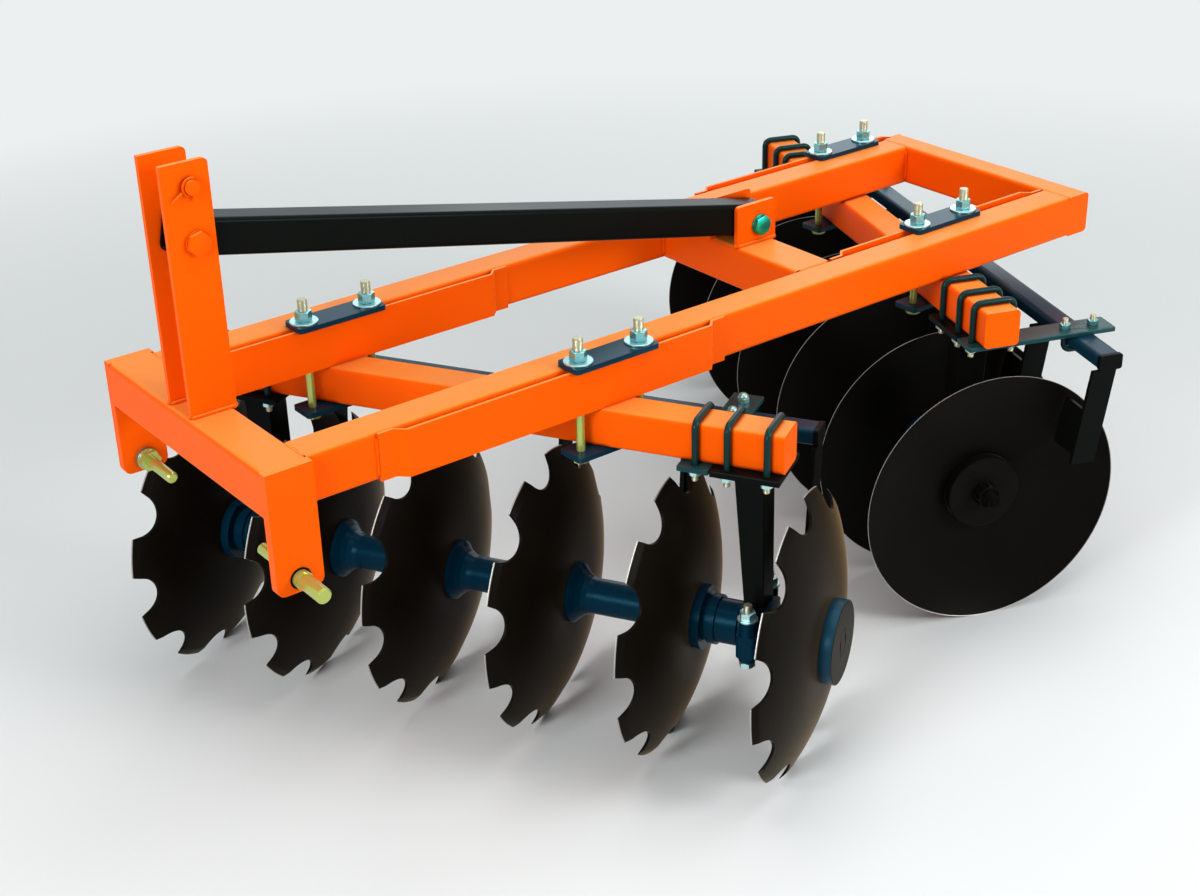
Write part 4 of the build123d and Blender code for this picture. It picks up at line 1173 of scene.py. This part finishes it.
@dataclass
class WeldBeads:
    """Painted weld beads where the frame's pieces meet."""

    palette: Palette  # The finishes
    radius: float = 0.0042  # Radius of a fillet bead
    fill_radius: float = 0.0052  # Radius of a bead that fills the groove between two tubes
    corner: float = 0.009  # Radius of the tubes' corners
    fill_inset: float = 0.0054  # Distance of a filling bead's ends from the beam's sides
    proud: float = 0.0002  # How far a filling bead stands above the tubes
    sink: float = 0.0028  # How far its middle lies inside the rounder tube
    bracket_inset: float = 0.004  # Distance of the brackets' upright beads from the crossbar's edges
    foot_rise: float = 0.001  # Height of the beads over the plates' feet
    ripple: float = 0.0045  # Distance from ripple to ripple
    ripple_rows: int = 5  # Steps along each ripple
    least_rows: int = 8  # Fewest steps along a bead
    swell: float = 0.16  # How far a bead swells with each ripple, as a share of its radius
    drift: float = 0.08  # How far it swells and shrinks over longer stretches
    drift_rate: float = 0.7  # How fast that goes, in radians for each ripple
    end_share: float = 0.25  # Least size of its ends, before they are rounded
    sides: int = 10  # Steps round it

    def dress(self) -> None:
        """Lays every bead and makes one piece for each group."""
        groups = {"frame_welds": self.frame_joints(), "strip_welds": self.strip_ends(),
                  "hitch_welds": self.bracket_feet() + self.plate_feet()}
        for name, beads in groups.items():
            make_piece(name, beads, self.palette.orange)

    def bead(self, start: Point, end: Point, radius: float | None = None) -> Grid:
        """Weld bead along a straight run.

        Its round section swells with the size of a sine wave, once for each ripple, and a little with a
        slower one, and shrinks to its ends as the root of the distance from them.

        Args:
            start: One end.
            end: Other end.
            radius: Mean radius, where it isn't a fillet's.

        Returns:
            The closed patch.
        """
        radius = radius or self.radius
        start, end = np.array(start, float), np.array(end, float)
        length = np.linalg.norm(end - start)
        share = np.linspace(0, 1, max(int(length / self.ripple * self.ripple_rows), self.least_rows))
        phase = share * length / self.ripple
        wave = self.swell * np.abs(np.sin(pi * phase)) + self.drift * np.sin(phase * self.drift_rate)
        taper = np.clip(np.minimum(share, 1 - share) * length / radius, self.end_share, 1.0) ** 0.5
        flat = UP if np.ptp([start[2], end[2]]) < length / 2 else SIDEWAYS
        path = start + share[:, None] * (end - start)
        return swept(path, circle(radius, self.sides), flat, (1 + wave) * taper)

    def upright(self, x: float, y: float, low: float, high: float) -> Grid:
        """Upright bead between two heights, short of the tubes' round corners."""
        return self.bead((x, y, low + self.corner), (x, y, high - self.corner))

    def frame_joints(self) -> list[Grid]:
        """Beads where the crossbars meet the beams: across the top and underside, and up the inner corners.

        Returns:
            The beads.
        """
        beads = []
        cross_low, cross_high = node_box("middle_crossbar")
        for beam, inside in (("left_beam", 1.0), ("right_beam", -1.0)):
            low, high = node_box(beam)
            inner = low[0] if beam == "left_beam" else high[0]
            levels = low[2] + self.fill_radius - self.proud, high[2] - self.fill_radius + self.proud
            left, right = low[0] + self.fill_inset, high[0] - self.fill_inset
            sunk = inner + inside * self.sink
            front, rear = cross_low[1] + self.corner, cross_high[1] - self.corner
            for z in levels:
                for y in (low[1] - self.sink, high[1] + self.sink):
                    beads.append(self.bead((left, y, z), (right, y, z), self.fill_radius))
                beads.append(self.bead((sunk, front, z), (sunk, rear, z), self.fill_radius))
            for y in (low[1], high[1], cross_low[1], cross_high[1]):
                beads.append(self.upright(inner, y, low[2], high[2]))
        return beads

    def strip_ends(self) -> list[Grid]:
        """Upright beads at both ends of every slot strip.

        Returns:
            The beads.
        """
        beads = []
        for node in ("front_slot_strips", "rear_slot_strips"):
            for part in parted(node_points(node), 0, SIDE_GAP):
                low, high = part.min(0), part.max(0)
                pad = part[part[:, 1] < low[1] + MERGE_DISTANCE, 0]
                face = pad.min() if pad.mean() < part[:, 0].mean() else pad.max()
                for y in (low[1], high[1]):
                    beads.append(self.upright(face, y, low[2], high[2]))
        return beads

    def bracket_feet(self) -> list[Grid]:
        """Beads under the front crossbar's ends and up behind each hitch bracket.

        Returns:
            The beads.
        """
        beads = []
        low, high = node_box("front_crossbar")
        foot, head = low[2] + self.bracket_inset, high[2] - self.bracket_inset
        for x in (low[0], high[0]):
            beads.append(self.bead((x, low[1] + self.corner, low[2]), (x, high[1] - self.corner, low[2])))
            beads.append(self.bead((x, high[1], foot), (x, high[1], head)))
        return beads

    def plate_feet(self) -> list[Grid]:
        """Beads round the feet of the mast plates and of the brace lugs.

        Returns:
            The beads.
        """
        beads = []
        plates = [node_points("left_mast_plate"), node_points("right_mast_plate")]
        for corners in plates + parted(node_points("brace_lugs"), 0, LUG_GAP):
            low, high = corners.min(0), corners.max(0)
            z = low[2] + self.foot_rise
            for x in (low[0], high[0]):
                beads.append(self.bead((x, low[1], z), (x, high[1], z)))
            for y in (low[1], high[1]):
                beads.append(self.bead((low[0], y, z), (high[0], y, z)))
        return beads


@dataclass(frozen=True)
class Panel:
    """A square lamp."""

    name: str  # Its name
    place: tuple[float, float, float]  # Where it hangs
    size: float  # Length of its side
    power: float  # Its power in watts
    colour: Colour = (1.0, 1.0, 1.0)  # Its colour
    only_glossy: bool = False  # Whether matt surfaces go without its light

    def hang(self, target: Vector) -> None:
        """Makes the lamp and turns it to the target.

        Args:
            target: What it shines at.
        """
        lamp = bpy.data.lights.new(self.name, "AREA")
        lamp.shape, lamp.size, lamp.energy, lamp.color = "SQUARE", self.size, self.power, self.colour
        hung = bpy.data.objects.new(self.name, lamp)
        hung.location = self.place
        hung.rotation_euler = (target - Vector(self.place)).to_track_quat("-Z", "Y").to_euler()
        hung.visible_diffuse = not self.only_glossy
        bpy.context.scene.collection.objects.link(hung)


@dataclass
class Studio:
    """Floor, lamps, surroundings and camera."""

    palette: Palette  # The finishes
    camera_place: tuple[float, float, float] = (2.7932, -2.3295, 2.1761)  # Where the camera stands
    azimuth: float = 52.827  # The camera's turn about Z, in degrees
    pitch: float = 26.746  # How far it looks down, in degrees
    roll: float = -1.526  # Its turn about its own line of sight, in degrees
    lens: float = 56.854  # Focal length in millimetres
    sensor: float = 36.0  # Width of the sensor in millimetres
    clip: tuple[float, float] = (0.05, 100.0)  # Nearest and furthest distance that it shows
    floor_reach: float = 14.0  # Half the floor's side
    floor_steps: int = 9  # Points along the floor's side
    lamp_target: tuple[float, float, float] = (0.0, 0.1, 0.45)  # What the lamps are turned to

    def build(self) -> None:
        """Sets up everything round the machine."""
        self.lay_floor()
        self.hang_lamps()
        self.set_world()
        self.set_camera()

    def lay_floor(self) -> None:
        """A plain pale floor under the machine."""
        side = np.linspace(-self.floor_reach, self.floor_reach, self.floor_steps)
        x, y = np.meshgrid(side, side, indexing="ij")
        grid = Grid(np.stack([x, y, np.zeros_like(x)], -1), False)
        mesh = bpy.data.meshes.new("floor")
        mesh.from_pydata(grid.points.reshape(-1, 3), [], grid.faces()[:, ::-1])
        mesh.materials.append(self.palette.floor)
        floor = bpy.data.objects.new("floor", mesh)
        bpy.context.scene.collection.objects.link(floor)

    def hang_lamps(self) -> None:
        """Soft panels round the machine, and a pale sky card that only glossy surfaces see."""
        panels = [Panel("overhead", (0.4, 0.2, 4.2), 4.0, 95.0),
                  Panel("left", (4.2, 1.8, 2.3), 1.6, 125.0),
                  Panel("front", (1.4, -4.4, 2.3), 1.6, 115.0),
                  Panel("behind", (-3.2, 3.6, 2.6), 3.0, 30.0),
                  Panel("sky_card", (-3.6, 2.8, 3.1), 4.0, 40.0, (0.6, 0.85, 1.0), True)]
        for panel in panels:
            panel.hang(Vector(self.lamp_target))

    def set_world(self) -> None:
        """Pale surroundings: full strength to the camera and in reflections, dimmer as light."""
        world = bpy.data.worlds.new("studio")
        bpy.context.scene.world = world
        sheet = NodeSheet(world)
        level = sheet.spread(sheet.seen(), SURROUND_LIGHT, SURROUND_SEEN)
        sheet.close(sheet.add("Background", Color=(*SURROUND, 1.0), Strength=level))

    def set_camera(self) -> None:
        """The photograph's own viewpoint."""
        lens = bpy.data.cameras.new("camera")
        lens.lens, lens.sensor_width, lens.sensor_fit = self.lens, self.sensor, "HORIZONTAL"
        lens.clip_start, lens.clip_end = self.clip
        camera = bpy.data.objects.new("camera", lens)
        stand = Matrix.Translation(self.camera_place)
        for angle, axis in ((self.azimuth, "Z"), (90 - self.pitch, "X"), (self.roll, "Z")):
            stand = stand @ Matrix.Rotation(radians(angle), 4, axis)
        camera.matrix_world = stand
        bpy.context.scene.collection.objects.link(camera)
        bpy.context.scene.camera = camera


def dress_nodes(palette: Palette) -> None:
    """Gives every CAD node the finish of its slot, and some pieces a finish or broken edges of their own.

    Args:
        palette: The finishes.
    """
    by_slot = {Slot.ORANGE: palette.orange, Slot.BLACK: palette.black, Slot.CAST: palette.cast,
               Slot.BLADE: palette.rear_blade, Slot.ZINC: palette.yellow}
    for part in frame["record"]["subparts"]:
        dress(part["node"], by_slot[Slot(part["material_slot"])])
    for gang in ("front", "rear"):
        dress(f"{gang}_clamp_plates", palette.plate, PLATE_EDGE)
        dress(f"{gang}_end_washers", palette.hub)
        dress(f"{gang}_gang_shaft", palette.hub)
        dress(f"{gang}_scraper_bar", palette.plate)
        dress(f"{gang}_scraper_brackets", palette.bracket, PLATE_EDGE)
        dress(f"{gang}_hangers", palette.black, PLATE_EDGE)
    for node in ("left_mast_plate", "right_mast_plate", "left_hitch_bracket", "right_hitch_bracket",
                 "brace_lugs"):
        dress(node, palette.orange, PLATE_EDGE)
    dress("top_link_pin", palette.orange)


def main() -> None:
    """Builds the sub-assemblies in order, then the studio."""
    logging.basicConfig(level=logging.INFO, format="%(name)s: %(message)s")
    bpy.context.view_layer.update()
    bpy.context.scene.view_settings.view_transform = "Standard"
    palette = Palette()
    dress_nodes(palette)
    for gang in (Gang(palette, "front", Body.FRONT, reversed_axis=False, notched=True),
                 Gang(palette, "rear", Body.REAR, reversed_axis=True, notched=False)):
        gang.dress()
        GangFittings(gang, capped=gang.body is Body.FRONT).dress()
        SlotClamps(palette, gang.name).dress()
    Hitch(palette).dress()
    WeldBeads(palette).dress()
    Studio(palette).build()


if __name__ == "__main__":
    main()
